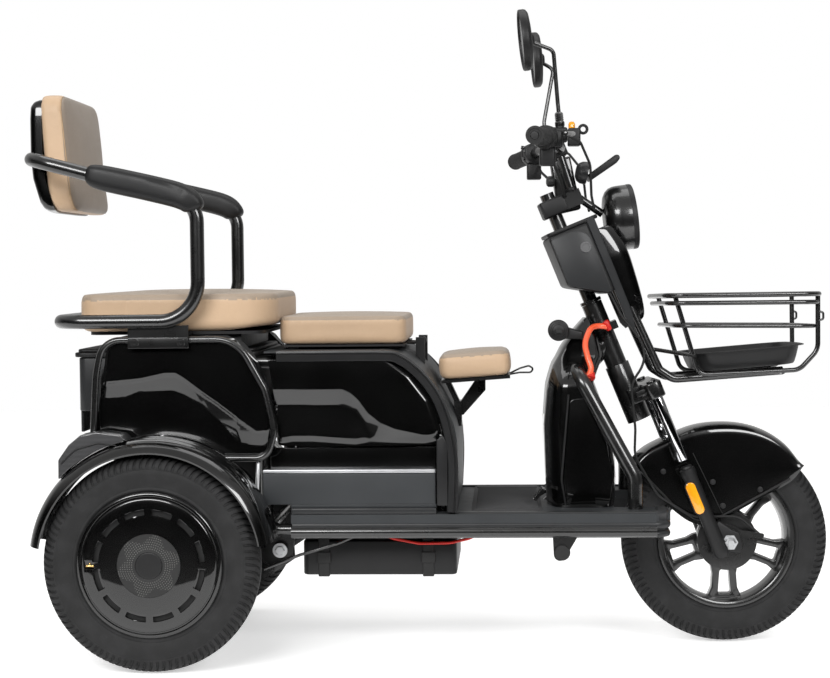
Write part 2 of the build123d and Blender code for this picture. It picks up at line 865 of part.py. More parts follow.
def seat_hinge():
    """Fixed half of the driver's seat hinge: two blocks and the pin between them."""
    x, z = DRIVER_HINGE_X, DRIVER_HINGE_Z
    pin = round_bar(HINGE_PIN_R, x, z, -65, 65)
    cheek = block(x - 8, x + 10, 56, 66, SEAT_BOX_TOP - 43, z + 10)
    hinge = pin + cheek + mirror(cheek, about=Plane.XZ)
    return hinge - slab(band_outline(-SEAT), -100, 100)


CHILD_TILT = 4.0
CHILD_Z = SEAT_BOX_TOP - 61.0


def child_cushion():
    """Small child's cushion in front of the driver's seat."""
    r, z = REAR_AXLE_X, CHILD_Z
    pad = cushion(r + 539, r + 684, 98, z, z + 53, 26, 18)
    return pad.rotate(Axis((r + 611, 0, z), (0, 1, 0)), -CHILD_TILT)


def child_bracket():
    """Base plate, strut and link that carry the child's seat on the seat box front."""
    r, z = REAR_AXLE_X, CHILD_Z
    plate = block(r + 543, r + 680, -88, 88, z - 7, z - 0.5)
    plate = plate.rotate(Axis((r + 611, 0, z), (0, 1, 0)), -CHILD_TILT)
    strut = slab(
        area(
            [
                (r + 615, z - 2),
                (r + 630, z - 2),
                (r + 630, z - 30),
                (r + 585, z - 80),
                (r + 576, z - 80),
                (r + 576, z - 58),
            ]
        ),
        -18,
        18,
    )
    link_ends = [(r + 546, z - 9), (r + 557, z - 8), (r + 583, z - 64), (r + 575, z - 72)]
    link = slab(area(link_ends), -12, 12)
    mount = block(r + 566, r + 582, -24, 24, z - 102, z - 52)
    body = plate + strut + link + mount
    return body - slab(band_outline(-SEAT), -40, 40)


# ---------------------------------------------------------------- rear running gear
AXLE_TUBE_R = 24.0
STUB_R = 10.0
HUB_INNER = TRACK_HALF - 26.0


def rear_axle():
    """Axle tube with the motor and gear case as one block, and a stub for each wheel."""
    r, z = REAR_AXLE_X, AXLE_Z
    case = round_bar(AXLE_TUBE_R, r, z, -HUB_INNER + 6, HUB_INNER - 6)
    motor = round_bar(78, r + 18, z, -45, 105)
    stubs = round_bar(STUB_R, r, z, -TRACK_HALF - 14, TRACK_HALF + 14)
    axle = case + motor + stubs
    for y in (-SHOCK_HALF, SHOCK_HALF):
        axle += block(r - 60, r - 14, y - 9, y + 9, z - 8, z + 22)
    return axle


ARM_Y = 168.0


def swing_arms():
    """Trailing arms from the frame pivots back to the axle tube."""
    r = REAR_AXLE_X
    plate = slab(
        area(
            [
                (PIVOT_X + 24, PIVOT_Z + 18),
                (PIVOT_X + 26, PIVOT_Z - 20),
                (r + 190, 150),
                (r + 30, 184),
                (r + 30, 236),
                (r + 195, 240),
            ],
            5,
        ),
        ARM_Y - 4,
        ARM_Y + 4,
    )
    arm = plate + round_bar(AXLE_TUBE_R + 12, r, AXLE_Z, ARM_Y - 10, ARM_Y + 10)
    arm -= round_bar(AXLE_TUBE_R + SEAT, r, AXLE_Z, ARM_Y - 30, ARM_Y + 30)
    arm -= round_bar(PIVOT_R + SEAT, PIVOT_X, PIVOT_Z, ARM_Y - 30, ARM_Y + 30)
    return both(arm)


def pivot_bolts():
    """Through bolts of the swing arms, with wide washers outside."""
    bolt = round_bar(PIVOT_R, PIVOT_X, PIVOT_Z, ARM_Y - 10, ARM_Y + 28)
    head = round_bar(13, PIVOT_X, PIVOT_Z, ARM_Y + 27, ARM_Y + 33)
    return both(bolt + head)


def brake_rods():
    """Rods from the rear brakes forward to the floor rails."""
    f = FRONT_AXLE_X
    points = [
        (PIVOT_X - 37, 190, PIVOT_Z - 39),
        (f - 842, 190, 204),
        (f - 765, 196, 228),
        (f - 728, RAIL_HALF - 12.4, RAIL_Z - 7.2),
    ]
    rod = tube(points, 3, 40) + round_bar(5, PIVOT_X - 37, PIVOT_Z - 39, ARM_Y + 4 + SEAT, 194)
    return both(rod)


def shock_absorbers():
    """Rear dampers with their springs as plain sleeves."""
    low = (REAR_AXLE_X - 38, SHOCK_HALF, AXLE_Z + 22 + SEAT)
    high = (REAR_AXLE_X - 38, SHOCK_HALF, SHOCK_TOP_Z)
    rod = tube([low, high], 7)
    spring_low = (REAR_AXLE_X - 38, SHOCK_HALF, AXLE_Z + 60)
    spring_high = (REAR_AXLE_X - 38, SHOCK_HALF, SHOCK_TOP_Z - 40)
    eye = round_bar(13, high[0], high[2], SHOCK_HALF - 15.5, SHOCK_HALF + 15.5)
    return both(rod + tube([spring_low, spring_high], 20) + eye)


# ---------------------------------------------------------------- wheels
TYRE_BEAD_HALF = 30.0
FLANGE_T = 4.0


def tyre():
    """Tyre about the Y axis, hollow and open towards the rim."""
    outside = [
        (BEAD_R + SEAT, TYRE_BEAD_HALF),
        (RIM_LIP_R, TYRE_BEAD_HALF + 2),
        (155, TYRE_HALF - 2),
        (172, TYRE_HALF),
        (189, TYRE_HALF - 2),
        (200, TYRE_HALF - 9),
        (205, TYRE_HALF - 22),
        (TYRE_R, 0),
    ]
    inside = [
        (TYRE_R - TYRE_WALL - 2, 0),
        (196, 22),
        (186, TYRE_HALF - 9),
        (170, TYRE_HALF - 7),
        (152, TYRE_HALF - 9),
        (BEAD_R + 8, TYRE_BEAD_HALF - 9),
        (BEAD_R + SEAT, TYRE_BEAD_HALF - 9),
    ]
    outer = outside + [(r, -y) for r, y in reversed(outside[:-1])]
    inner = [(r, -y) for r, y in reversed(inside[1:])] + inside
    return spun(outer + inner)


def rim_barrel():
    """Section of a wheel rim: two flanges and the well between them."""
    lip = TYRE_BEAD_HALF + 2 + SEAT
    return [
        (RIM_LIP_R, lip),
        (RIM_LIP_R, lip + FLANGE_T),
        (BEAD_R - 3, lip + FLANGE_T),
        (BEAD_R - 6, 14),
        (BEAD_R - 6, -14),
        (BEAD_R - 3, -lip - FLANGE_T),
        (RIM_LIP_R, -lip - FLANGE_T),
        (RIM_LIP_R, -lip),
        (BEAD_R, -lip),
        (BEAD_R, -18),
        (BEAD_R - 2, -12),
        (BEAD_R - 2, 12),
        (BEAD_R, 18),
        (BEAD_R, lip),
    ]


SPOKE_COUNT = 5
HUB_R = 30.0
FRONT_AXLE_R = 7.5
FRONT_HUB_HALF = 36.0
DRUM_R = 58.0


def front_rim():
    """Cast front rim with five forked spokes and a drum hub."""
    rim = spun(rim_barrel())
    hub = round_bar(HUB_R, 0, 0, -FRONT_HUB_HALF, FRONT_HUB_HALF)
    drum = round_bar(DRUM_R, 0, 0, -FRONT_HUB_HALF, -4)
    wheel = rim + hub + drum
    spoke = slab(
        area([(-27, 40), (27, 40), (33, BEAD_R - 5), (-33, BEAD_R - 5)]), -13, 13
    ) - slab(area([(-11, 68), (11, 68), (14, 108), (-14, 108)], 4), -20, 20)
    for k in range(SPOKE_COUNT):
        wheel += spoke.rotate(Axis.Y, 180 + k * 360 / SPOKE_COUNT)
    return wheel - round_bar(FRONT_AXLE_R + BEARING_GAP, 0, 0, -100, 100)


REAR_HUB_R = 34.0


def rear_rim():
    """Pressed rear rim with a dished centre, outside towards +Y."""
    rim = spun(rim_barrel())
    hub = round_bar(REAR_HUB_R, 0, 0, -22, 14)
    dish = spun([(REAR_HUB_R - 2, 4), (BEAD_R - 5, 4), (BEAD_R - 5, 9), (REAR_HUB_R - 2, 9)])
    wheel = rim + hub + dish
    return wheel - round_bar(STUB_R + BEARING_GAP, 0, 0, -100, 100)


COVER_R = 137.0
SLOT_COUNT = 12


def wheel_cover():
    """Round cover over the outside of a rear wheel, slotted near its edge."""
    face = TYRE_BEAD_HALF + 2 + SEAT + FLANGE_T + SEAT
    disc = spun(
        [
            (0, face + 3),
            (0, face + 6),
            (60, face + 6),
            (112, face + 4),
            (COVER_R, face + 1),
            (COVER_R, face),
            (RIM_LIP_R - 12, face),
            (112, face + 1),
            (60, face + 3),
        ]
    )
    slot = round_bar(108, 0, 0, face - 8, face + 14) - round_bar(99, 0, 0, face - 8, face + 14)
    for k in range(SLOT_COUNT):
        wedge = slab(area([(0, 0), (-23, 120), (23, 120)]), face - 8, face + 14)
        disc -= (slot & wedge).rotate(Axis.Y, k * 360 / SLOT_COUNT)
    return disc


def at_rear(shape, side):
    """Put a wheel piece drawn with its outside towards +Y at the left or right rear."""
    turned = shape if side > 0 else mirror(shape, about=Plane.XZ)
    return Pos(REAR_AXLE_X, side * TRACK_HALF, AXLE_Z) * turned


def at_front(shape):
    """Put a wheel piece in the fork and turn it with the steering."""
    return steered(Pos(FRONT_AXLE_X, 0, AXLE_Z) * shape)


# ---------------------------------------------------------------- fork and handlebar
STANCHION_R = 10.5
LOWER_R = 14.0
AXLE_AHEAD = AXIS_BACK * cos(radians(RAKE)) - (CROWN_Z - AXLE_Z) * sin(radians(RAKE))
AXLE_DOWN = AXIS_BACK * sin(radians(RAKE)) + (CROWN_Z - AXLE_Z) * cos(radians(RAKE))


def steering_stem():
    """Steering column from the fork crown up to the bar clamp."""
    stem = upright(STEM_R, -26, 434)
    collar = upright(24, -26, HEAD_LOW - 1)
    lid = upright(22, HEAD_HIGH + 1, HEAD_HIGH + 7)
    clamp = steer_tilt(block(-24, 62, -30, 30, 388, 420))
    return stem + collar + lid + clamp


def fork():
    """Fork: crown, two stanchions, lower legs and the wheel axle."""
    bridge = block(26, FORK_OFFSET + 17, -FORK_HALF - 16, FORK_HALF + 16, -26, 6)
    bridge = fillet(bridge.edges().filter_by(Axis.Z), 12)
    collar = block(0, 30, -30, 30, -26, 6) - Cylinder(24 + SEAT, 200)
    clip = block(3.6 + CABLE_R, 30, -85, -75, -10, 0)
    legs = steer_tilt(bridge + collar + clip)
    for y in (-FORK_HALF, FORK_HALF):
        upper = tube([along_axis(FORK_OFFSET, y, 12), along_axis(FORK_OFFSET, y, -160)], STANCHION_R)
        lower = tube(
            [along_axis(FORK_OFFSET, y, -148), along_axis(FORK_OFFSET, y, -AXLE_DOWN - 22)], LOWER_R
        )
        side = 1 if y > 0 else -1
        lug = round_bar(20, FRONT_AXLE_X, AXLE_Z, *sorted((side * (FORK_HALF - 16), side * FORK_HALF)))
        web = slab(
            area(
                [
                    (FRONT_AXLE_X - 26, AXLE_Z + 16),
                    (FRONT_AXLE_X + 4, AXLE_Z + 19),
                    (FRONT_AXLE_X + 4, AXLE_Z - 19),
                    (FRONT_AXLE_X - 16, AXLE_Z - 20),
                ]
            ),
            *sorted((side * (FORK_HALF - 16), side * FORK_HALF)),
        )
        legs += [upper, lower, lug, web]
    legs += round_bar(FRONT_AXLE_R, FRONT_AXLE_X, AXLE_Z, -FORK_HALF - 7, FORK_HALF + 7)
    return steered(legs)


def brake_arm(grow=0.0):
    """Lever arm of the front brake."""
    x, z = FRONT_AXLE_X, AXLE_Z
    outline = area([(x + 8, z + 12), (x + 70, z + 4), (x + 72, z + 14), (x + 14, z + 24)], 3)
    if grow:
        outline = offset(outline, amount=grow)
    return slab(outline, -62 - grow, -57 + grow)


def brake_plate():
    """Backing plate of the front drum brake with its lever arm."""
    x, z = FRONT_AXLE_X, AXLE_Z
    plate = round_bar(DRUM_R + 2, x, z, -FRONT_HUB_HALF - RUN - 5, -FRONT_HUB_HALF - RUN)
    plate += round_bar(32, x, z, -FORK_HALF + 16 + SEAT, -FRONT_HUB_HALF - RUN - 4)
    plate -= round_bar(FRONT_AXLE_R + SEAT, x, z, -100, 0)
    return steered(plate + brake_arm())


CABLE_R = 2.5


def brake_cable():
    """Front brake cable, clipped to the fork crown and led inside the leg to the brake arm."""
    f = FRONT_AXLE_X
    points = [
        along_axis(34, -80, 203 - SEAT),
        along_axis(38, -84, 152),
        along_axis(64, -84, 60),
        along_axis(4, -80, 20),
        (f - 184, -60, 434),
        (f - 186, -58, 380),
        (f - 140, -60, 300),
        (f - 70, -60, 257),
        (f + 22, -60, 257),
        (f + 68, -59.5, 216),
    ]
    cable = tube(points, CABLE_R, [60, 60, 60, 60, 60, 50, 50, 40])
    return steered(cable - brake_arm(SEAT))


FORK_FENDER_R = 238.0


def front_fender():
    """Deep front fender with side skirts down to the fork legs."""
    inner_r = TYRE_R + RUN + 1
    wide, wall = 52.0, 2.5
    f, z = FRONT_AXLE_X, AXLE_Z
    side = make_face(
        Spline(
            (f - 186, z + 160),
            (f - 132, z + 201),
            (f - 60, z + 230),
            (f + 10, z + 236),
            (f + 70, z + 224),
            (f + 120, z + 194),
            (f + 156, z + 150),
        )
        + Polyline(
            (f + 156, z + 150),
            (f + 128, z + 118),
            (f + 65, z + 84),
            (f - 12, z + 42),
            (f - 60, z + 30),
            (f - 110, z + 60),
            (f - 176, z + 132),
            (f - 186, z + 160),
        )
    )
    outer = slab(side, -wide, wide)
    fender = outer - round_bar(inner_r, f, z, -wide + wall, wide - wall)
    stay_x, _, stay_z = along_axis(FORK_OFFSET, 0, -200)
    stay = round_bar(8, stay_x, stay_z, wide - 1, FORK_HALF - LOWER_R - SEAT)
    return steered(fender + stay + mirror(stay, about=Plane.XZ))


def glove_box():
    """Storage box round the steering column with its thin cap."""
    outline = area([(-38, 350), (-38, 245), (30, 203), (46, 203), (46, 350)])
    shell = slab(outline, -88, 88)
    inner = slab(area([(-35.5, 347), (-35.5, 247), (31, 206), (43.5, 206), (43.5, 347)]), -85.5, 85.5)
    cap = block(-30, 72, -80, 80, 352, 358)
    body = shell - inner + cap + block(-30, 46, -78, 78, 349, 353)
    body -= Cylinder(STEM_R + SEAT, 1200)
    return steered(steer_tilt(body))


def nose_fairing():
    """Glossy nose in front of the glove box, with its side channels."""
    outline = [(47, 322), (60, 330), (88, 330), (104, 268), (94, 163), (84, 132), (66, 124), (47, 127)]
    hollow = [(46, 319), (60, 327), (86, 327), (101, 268), (91, 164), (81, 134), (66, 127), (46, 130)]
    shell = slab(area(outline), -82, 82) - slab(area(hollow), -79, 79)
    shell = steer_tilt(shell) - lamp_can(1.5)
    for y in (-CARRIER_HALF, CARRIER_HALF):
        shell -= tube(carrier_points(y), CARRIER_R + SEAT, CARRIER_BENDS)
    return steered(shell)


LAMP_R = 66.0


def lamp_can(grow=0.0):
    """Bowl of the headlamp, a little larger when it is used to clear its neighbours."""
    g = grow
    outline = [
        (0, -35 - g),
        (40, -35 - g),
        (58 + g, -24 - g),
        (LAMP_R + g, -6),
        (LAMP_R + g, 35 + g),
        (0, 35 + g),
    ]
    return Pos(FRONT_AXLE_X - 210.0, 0, 857.0) * Rot(0, -7, 0) * spun_x(outline)


def headlight():
    """Round headlamp can on its bracket."""
    stalk = tube([along_axis(62 + SEAT, 0, 404), (FRONT_AXLE_X - 238, 0, 868)], 8)
    stalk -= steer_tilt(block(-40, 62 + SEAT, -40, 40, 370, 440))
    return steered(lamp_can() + stalk)


def spun_x(points):
    """Body turned about the X axis: points are (radius, along X)."""
    return revolve(make_face(Polyline(*[(a, r) for r, a in points], close=True)), Axis.X)


BAR_R = 11.0
BAR_CENTRE = (55.0, 0.0, 507.0)
BAR_BEND_Y = 150.0
BAR_END = (-397.0, 310.0, 998.0)


def handlebar():
    """Bent handlebar on two risers."""
    centre = Vector(*along_axis(*BAR_CENTRE))
    bend_x = FRONT_AXLE_X - 356.0
    end_x = FRONT_AXLE_X + BAR_END[0]
    points = [
        (end_x, -BAR_END[1], BAR_END[2]),
        (bend_x, -BAR_BEND_Y, 1006),
        (centre.X, -60, centre.Z),
        (centre.X, 60, centre.Z),
        (bend_x, BAR_BEND_Y, 1006),
        (end_x, BAR_END[1], BAR_END[2]),
    ]
    bar = tube(points, BAR_R, 60)
    riser = tube([along_axis(48, 22, 418), along_axis(55, 22, 507)], 8.5)
    riser -= steer_tilt(block(-40, 90, -40, 40, 370, 420 + SEAT))
    return steered(bar + riser + mirror(riser, about=Plane.XZ))


GRIP_R = 17.0


def bar_point(y):
    """Point on the straight outer part of the right or left bar."""
    side = 1 if y > 0 else -1
    start = Vector(FRONT_AXLE_X - 356.0, side * BAR_BEND_Y, 1006)
    end = Vector(FRONT_AXLE_X + BAR_END[0], side * BAR_END[1], BAR_END[2])
    share = (abs(y) - BAR_BEND_Y) / (BAR_END[1] - BAR_BEND_Y)
    return tuple(start + (end - start) * share)


def grips():
    """Rubber grips over the bar ends."""
    pieces = []
    for side in (-1, 1):
        sleeve = tube([bar_point(side * 212), bar_point(side * (BAR_END[1] + 6))], GRIP_R)
        pieces.append(sleeve - tube([bar_point(side * 200), bar_point(side * BAR_END[1])], BAR_R + SEAT))
    return steered(Part() + pieces)


def switch_pods():
    """Switch and throttle housings inboard of the grips, with the brake lever perches."""
    pieces = []
    for side in (-1, 1):
        pod = tube([bar_point(side * 172), bar_point(side * 211)], 22)
        x, y, z = bar_point(side * 180)
        pod += block(x - 4, x + 34, *sorted((side * 170, side * 190)), z - 10, z + 22)
        pod -= tube([bar_point(side * 160), bar_point(side * 230)], BAR_R + SEAT)
        pieces.append(pod)
    return steered(Part() + pieces)


def brake_levers():
    """Hand levers in front of the grips."""
    pieces = []
    for side in (-1, 1):
        x, y, z = bar_point(side * 180)
        lever = tube(
            [(x + 39.4, side * 172, z + 8), (x + 45, side * 215, z + 4), (x + 26, side * 290, z - 2)], 5, 30
        )
        pieces.append(lever)
    return steered(Part() + pieces)


MIRROR_R = 58.0


def mirror_piece(side, head, lean, elbow):
    """One mirror: round head on a bent stem that rises from the brake perch."""
    x, z = head
    disc = Cylinder(MIRROR_R, 16)
    disc = fillet(disc.edges(), 6)
    disc = Pos(FRONT_AXLE_X + x, side * 200, z) * Rot(0, 90 - lean, 0) * disc
    ex, ez = elbow
    bar_x, bar_y, bar_z = bar_point(side * 180)
    foot_x, foot_z = bar_x + 24, bar_z + 22 + SEAT
    stem = tube(
        [
            (foot_x, side * 180, foot_z + 2),
            (foot_x - 4, side * 181, foot_z + 44),
            (FRONT_AXLE_X + ex, side * 190, ez),
            (FRONT_AXLE_X + x, side * 200, z),
        ],
        4,
        [30, 14],
    )
    boot = tube([(foot_x, side * 180, foot_z), (foot_x, side * 180, foot_z + 26)], 8)
    return disc + stem + boot


def mirrors():
    """Rear-view mirrors on the brake perches, set for different riders' eyes."""
    near = mirror_piece(-1, (-416, 1186), 8, (-366, 1168))
    far = mirror_piece(1, (-357, 1206), 2, (-317, 1184))
    return steered(Part() + [near, far])


# ---------------------------------------------------------------- basket
BASKET_HALF = 150.0
BASKET_BACK = FRONT_AXLE_X - 134.0
BASKET_FRONT = FRONT_AXLE_X + 166.0
RIM_Z = 700.0
WIRE_R = 4.5
CARRIER_R = 8.5
CARRIER_HALF = 62.0
BASKET_PITCH = 4.5
TRAY_Z = 547.0


def wire_ring(back, front, half, z_back, z_front, radius, corner):
    """Closed rounded rectangle of wire, sloping from back to front."""
    points = [
        (back, half, z_back),
        (front, half, z_front),
        (front, -half, z_front),
        (back, -half, z_back),
    ]
    return tube(points, radius, corner, close=True)


CARRIER_BENDS = [16, 30]


def carrier_points(y):
    """Centre line of a carrier tube, from inside the nose down and out under the basket."""
    f = FRONT_AXLE_X
    return [along_axis(60, y, 250), (f - 136, y, 552), (f - 108, y, 533), (f + 110, y, 548)]


def basket_frame():
    """Wire basket: rims, bows and the two carrier tubes from the fairing."""
    f = FRONT_AXLE_X
    rings = [
        wire_ring(BASKET_BACK, BASKET_FRONT, BASKET_HALF, RIM_Z, RIM_Z, 5, 40),
        wire_ring(BASKET_BACK + 6, BASKET_FRONT - 2, BASKET_HALF - 2, RIM_Z - 15, RIM_Z - 15, 4.5, 40),
        wire_ring(BASKET_BACK + 20, BASKET_FRONT - 2, BASKET_HALF - 8, 637, 644, 4, 40),
    ]
    basket = rings[0] + rings[1] + rings[2]
    for y in (-55, 55):
        basket += tube(
            [
                (f - 128, y, RIM_Z),
                (f - 70, y, 541),
                (f + 118, y, 556),
                (f + 160, y, 600),
                (f + 163, y, RIM_Z),
            ],
            WIRE_R,
            [18, 30, 30],
        )
    for y in (-CARRIER_HALF, CARRIER_HALF):
        basket += tube(carrier_points(y), CARRIER_R, CARRIER_BENDS)
    return steered(basket)


def basket_tray():
    """Moulded tray that sits in the foot of the basket."""
    f = FRONT_AXLE_X
    plan = Pos(f + 18, 0) * RectangleRounded(164, 236, 30)
    hollow = Pos(f + 18, 0) * RectangleRounded(158, 230, 27)
    tray = extrude(Plane.XY.offset(TRAY_Z) * plan, 36, taper=-18)
    tray -= extrude(Plane.XY.offset(TRAY_Z + SHEET) * hollow, 40, taper=-18)
    return steered(tray.rotate(Axis((f - 70, 0, TRAY_Z), (0, 1, 0)), -BASKET_PITCH))


# ---------------------------------------------------------------- write the pieces
PIECES = {
    "main_frame": main_frame,
    "floor_board": floor_board,
    "floor_mat": floor_mat,
    "leg_shield": leg_shield,
    "leg_guard": leg_guard,
    "foot_pedal": foot_pedal,
    "ignition_lock": ignition_lock,
    "lock_conduit": lock_conduit,
    "seat_box_cover": seat_box_cover,
    "side_frames": side_frames,
    "storage_box": storage_box,
    "mid_panels": mid_panels,
    "lower_panels": lower_panels,
    "battery_box": battery_box,
    "battery_lead": battery_lead,
    "rear_hoops": rear_hoops,
    "rear_panels": rear_panels,
    "rear_fenders": lambda: both(rear_fender()),
    "tail_lamps": tail_lamps,
    "trunk": trunk,
    "trunk_lid": trunk_lid,
    "rear_seat_pan": rear_seat_pan,
    "rear_seat_cushion": rear_seat_cushion,
    "arm_frame": arm_frame,
    "armrest_pads": armrest_pads,
    "backrest_cushion": backrest_cushion,
    "backrest_shell": backrest_shell,
    "driver_cushion": driver_cushion,
    "driver_seat_base": driver_seat_base,
    "seat_hinge": seat_hinge,
    "child_cushion": child_cushion,
    "child_bracket": child_bracket,
    "rear_axle": rear_axle,
    "swing_arms": swing_arms,
    "pivot_bolts": pivot_bolts,
    "brake_rods": brake_rods,
    "shock_absorbers": shock_absorbers,
    "steering_stem": lambda: steered(steering_stem()),
    "fork": fork,
    "brake_plate": brake_plate,
    "brake_cable": brake_cable,
    "front_fender": front_fender,
    "glove_box": glove_box,
    "nose_fairing": nose_fairing,
    "headlight": headlight,
    "handlebar": handlebar,
    "grips": grips,
    "switch_pods": switch_pods,
    "brake_levers": brake_levers,
    "mirrors": mirrors,
    "basket_frame": basket_frame,
    "basket_tray": basket_tray,
    "front_tyre": lambda: at_front(tyre()),
    "front_rim": lambda: at_front(front_rim()),
    "left_tyre": lambda: at_rear(tyre(), 1),
    "left_rim": lambda: at_rear(rear_rim(), 1),
    "left_cover": lambda: at_rear(wheel_cover(), 1),
    "right_tyre": lambda: at_rear(tyre(), -1),
    "right_rim": lambda: at_rear(rear_rim(), -1),
    "right_cover": lambda: at_rear(wheel_cover(), -1),
}

for name, make in PIECES.items():
    export_step(make(), f"parts/{name}.step")
    print(name)
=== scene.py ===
import json
from math import atan2, ceil, cos, exp, pi, radians, sin, tan

import bpy
from bpy.props import FloatProperty, FloatVectorProperty, IntProperty, PointerProperty
from bpy.types import Operator, Panel, PropertyGroup
from mathutils import Matrix, Vector


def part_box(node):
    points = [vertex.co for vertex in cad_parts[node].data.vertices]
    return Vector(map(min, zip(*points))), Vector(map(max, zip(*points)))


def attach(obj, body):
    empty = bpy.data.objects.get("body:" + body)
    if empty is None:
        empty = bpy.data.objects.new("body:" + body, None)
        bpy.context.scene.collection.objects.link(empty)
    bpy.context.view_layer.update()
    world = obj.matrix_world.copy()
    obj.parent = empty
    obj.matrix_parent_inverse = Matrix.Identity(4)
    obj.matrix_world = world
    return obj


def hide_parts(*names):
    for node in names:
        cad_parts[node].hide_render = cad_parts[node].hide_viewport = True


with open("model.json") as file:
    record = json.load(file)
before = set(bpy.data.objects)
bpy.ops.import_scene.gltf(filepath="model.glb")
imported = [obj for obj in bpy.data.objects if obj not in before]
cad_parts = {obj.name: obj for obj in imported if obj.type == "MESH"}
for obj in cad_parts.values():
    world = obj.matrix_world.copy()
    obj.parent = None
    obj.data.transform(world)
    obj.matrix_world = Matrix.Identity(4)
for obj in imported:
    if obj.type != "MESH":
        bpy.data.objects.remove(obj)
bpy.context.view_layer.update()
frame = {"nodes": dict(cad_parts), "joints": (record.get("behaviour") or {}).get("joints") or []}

bl_info = {
    "name": "Three-wheel scooter",
    "version": (1, 0, 0),
    "blender": (4, 5, 0),
    "location": "3D View > Sidebar > Scooter",
    "description": "Bodywork, seats, wheels and controls on the scooter's frame",
    "category": "Object",
}

MM = 0.001
WELD = 0.01 * MM
NODES = frame["nodes"]
JOINTS = {joint["name"]: joint for joint in frame["joints"]}


def middle(node):
    """Centre of a frame node's box, in millimetres."""
    low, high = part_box(node)
    return (low + high) / 2 / MM


def joint_at(name):
    """Place of a joint, in millimetres."""
    return Vector(JOINTS[name]["pos_m"]) / MM


STEER_AT = joint_at("steering")
STEER_AXIS = Vector(JOINTS["steering"]["axis"]).normalized()
WHEEL_AXIS = Vector(JOINTS["front_wheel_spin"]["axis"]).normalized()
SIDEWAYS = STEER_AXIS.cross(Vector((0, 1, 0)))
STEER_REST = atan2(WHEEL_AXIS.dot(SIDEWAYS), WHEEL_AXIS.y)
RAKE = atan2(-STEER_AXIS.x, STEER_AXIS.z)
AXLE_AHEAD = 191
FRONT = STEER_AT.x + AXLE_AHEAD
REAR = joint_at("rear_left_wheel_spin").x
AXLE_Z = joint_at("rear_left_wheel_spin").z
TRACK = middle("left_tyre").y
SEAT_BOX_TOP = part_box("seat_box_cover")[1].z / MM
BENCH = SEAT_BOX_TOP + 40


# ---------------------------------------------------------------- modelling helpers
def clear():
    """Leave every object deselected and in object mode."""
    if bpy.context.object and bpy.context.object.mode != "OBJECT":
        bpy.ops.object.mode_set(mode="OBJECT")
    bpy.ops.object.select_all(action="DESELECT")


def grab(*pieces):
    """Select these pieces alone, the first one active."""
    clear()
    for piece in pieces:
        piece.select_set(True)
    bpy.context.view_layer.objects.active = pieces[0]


def edit(piece):
    """Open a piece in edit mode with all of it selected."""
    grab(piece)
    bpy.ops.object.mode_set(mode="EDIT")
    bpy.ops.mesh.select_all(action="SELECT")


def named(name):
    """Name the object that an operator has just made."""
    piece = bpy.context.object
    piece.name = piece.data.name = name
    return piece


def modify(piece, kind, **settings):
    """Add a modifier and apply it."""
    grab(piece)
    modifier = piece.modifiers.new(kind.title(), kind)
    for key, value in settings.items():
        setattr(modifier, key, value)
    bpy.ops.object.modifier_apply(modifier=modifier.name)
    return piece


def closed(piece):
    """Merge doubled points, fill open ends and turn every face outwards."""
    edit(piece)
    bpy.ops.mesh.remove_doubles(threshold=WELD)
    bpy.ops.mesh.fill_holes(sides=0)
    bpy.ops.mesh.normals_make_consistent(inside=False)
    bpy.ops.object.mode_set(mode="OBJECT")
    return piece


def eased(piece, width, steps=3, angle=32):
    """Round the sharp edges of a closed piece."""
    limit = radians(angle)
    settings = {"segments": steps, "limit_method": "ANGLE", "angle_limit": limit}
    return modify(piece, "BEVEL", width=width * MM, **settings)


def smooth(piece, angle=38):
    """Smooth shading with the sharp edges kept."""
    grab(piece)
    bpy.ops.object.shade_smooth_by_angle(angle=radians(angle))
    return piece


def moved(piece, matrix):
    """Move a piece's mesh, so that its object stays at the origin."""
    piece.data.transform(matrix)
    if matrix.determinant() < 0:
        edit(piece)
        bpy.ops.mesh.normals_make_consistent(inside=False)
        bpy.ops.object.mode_set(mode="OBJECT")
    return piece


def shift(x, y, z):
    """Matrix that moves by millimetres."""
    return Matrix.Translation(Vector((x, y, z)) * MM)


def about(spot, angle, axis="Y"):
    """Matrix that turns about an axis through a point in millimetres."""
    place = shift(*spot)
    return place @ Matrix.Rotation(angle, 4, axis) @ place.inverted()


def shifted(piece, x, y, z):
    """Move a piece by millimetres."""
    return moved(piece, shift(x, y, z))


def twin(piece, matrix):
    """Copy of a piece with its own mesh, moved by a matrix."""
    copy = piece.copy()
    copy.data = piece.data.copy()
    bpy.context.scene.collection.objects.link(copy)
    return moved(copy, matrix)


MIRROR = Matrix.Diagonal((1, -1, 1, 1))


def joined(name, *pieces):
    """Join pieces into one."""
    grab(*pieces)
    bpy.ops.object.join()
    return named(name)


def paired(piece):
    """The piece and its mirror image across the centre line, as one."""
    return joined(piece.name, piece, twin(piece, MIRROR))


def steered(piece):
    """Turn a piece drawn straight ahead to where the bars rest."""
    return moved(piece, about(STEER_AT, STEER_REST, STEER_AXIS))


def along_axis(forward, side, up):
    """Point from distances ahead of, beside and along the steering axis."""
    x = STEER_AT.x + forward * cos(RAKE) - up * sin(RAKE)
    return Vector((x, side, STEER_AT.z + forward * sin(RAKE) + up * cos(RAKE)))


def raked(piece):
    """Stand a piece drawn upright round the origin on the steering axis."""
    return moved(piece, shift(*STEER_AT) @ Matrix.Rotation(-RAKE, 4, "Y"))


def loop(name, points, face=False):
    """Closed ring of points in millimetres, with a face across it if wanted."""
    clear()
    fill = "NGON" if face else "NOTHING"
    bpy.ops.mesh.primitive_circle_add(vertices=len(points), radius=0.05, fill_type=fill)
    piece = named(name)
    for vertex, point in zip(piece.data.vertices, points):
        vertex.co = Vector(point) * MM
    return piece


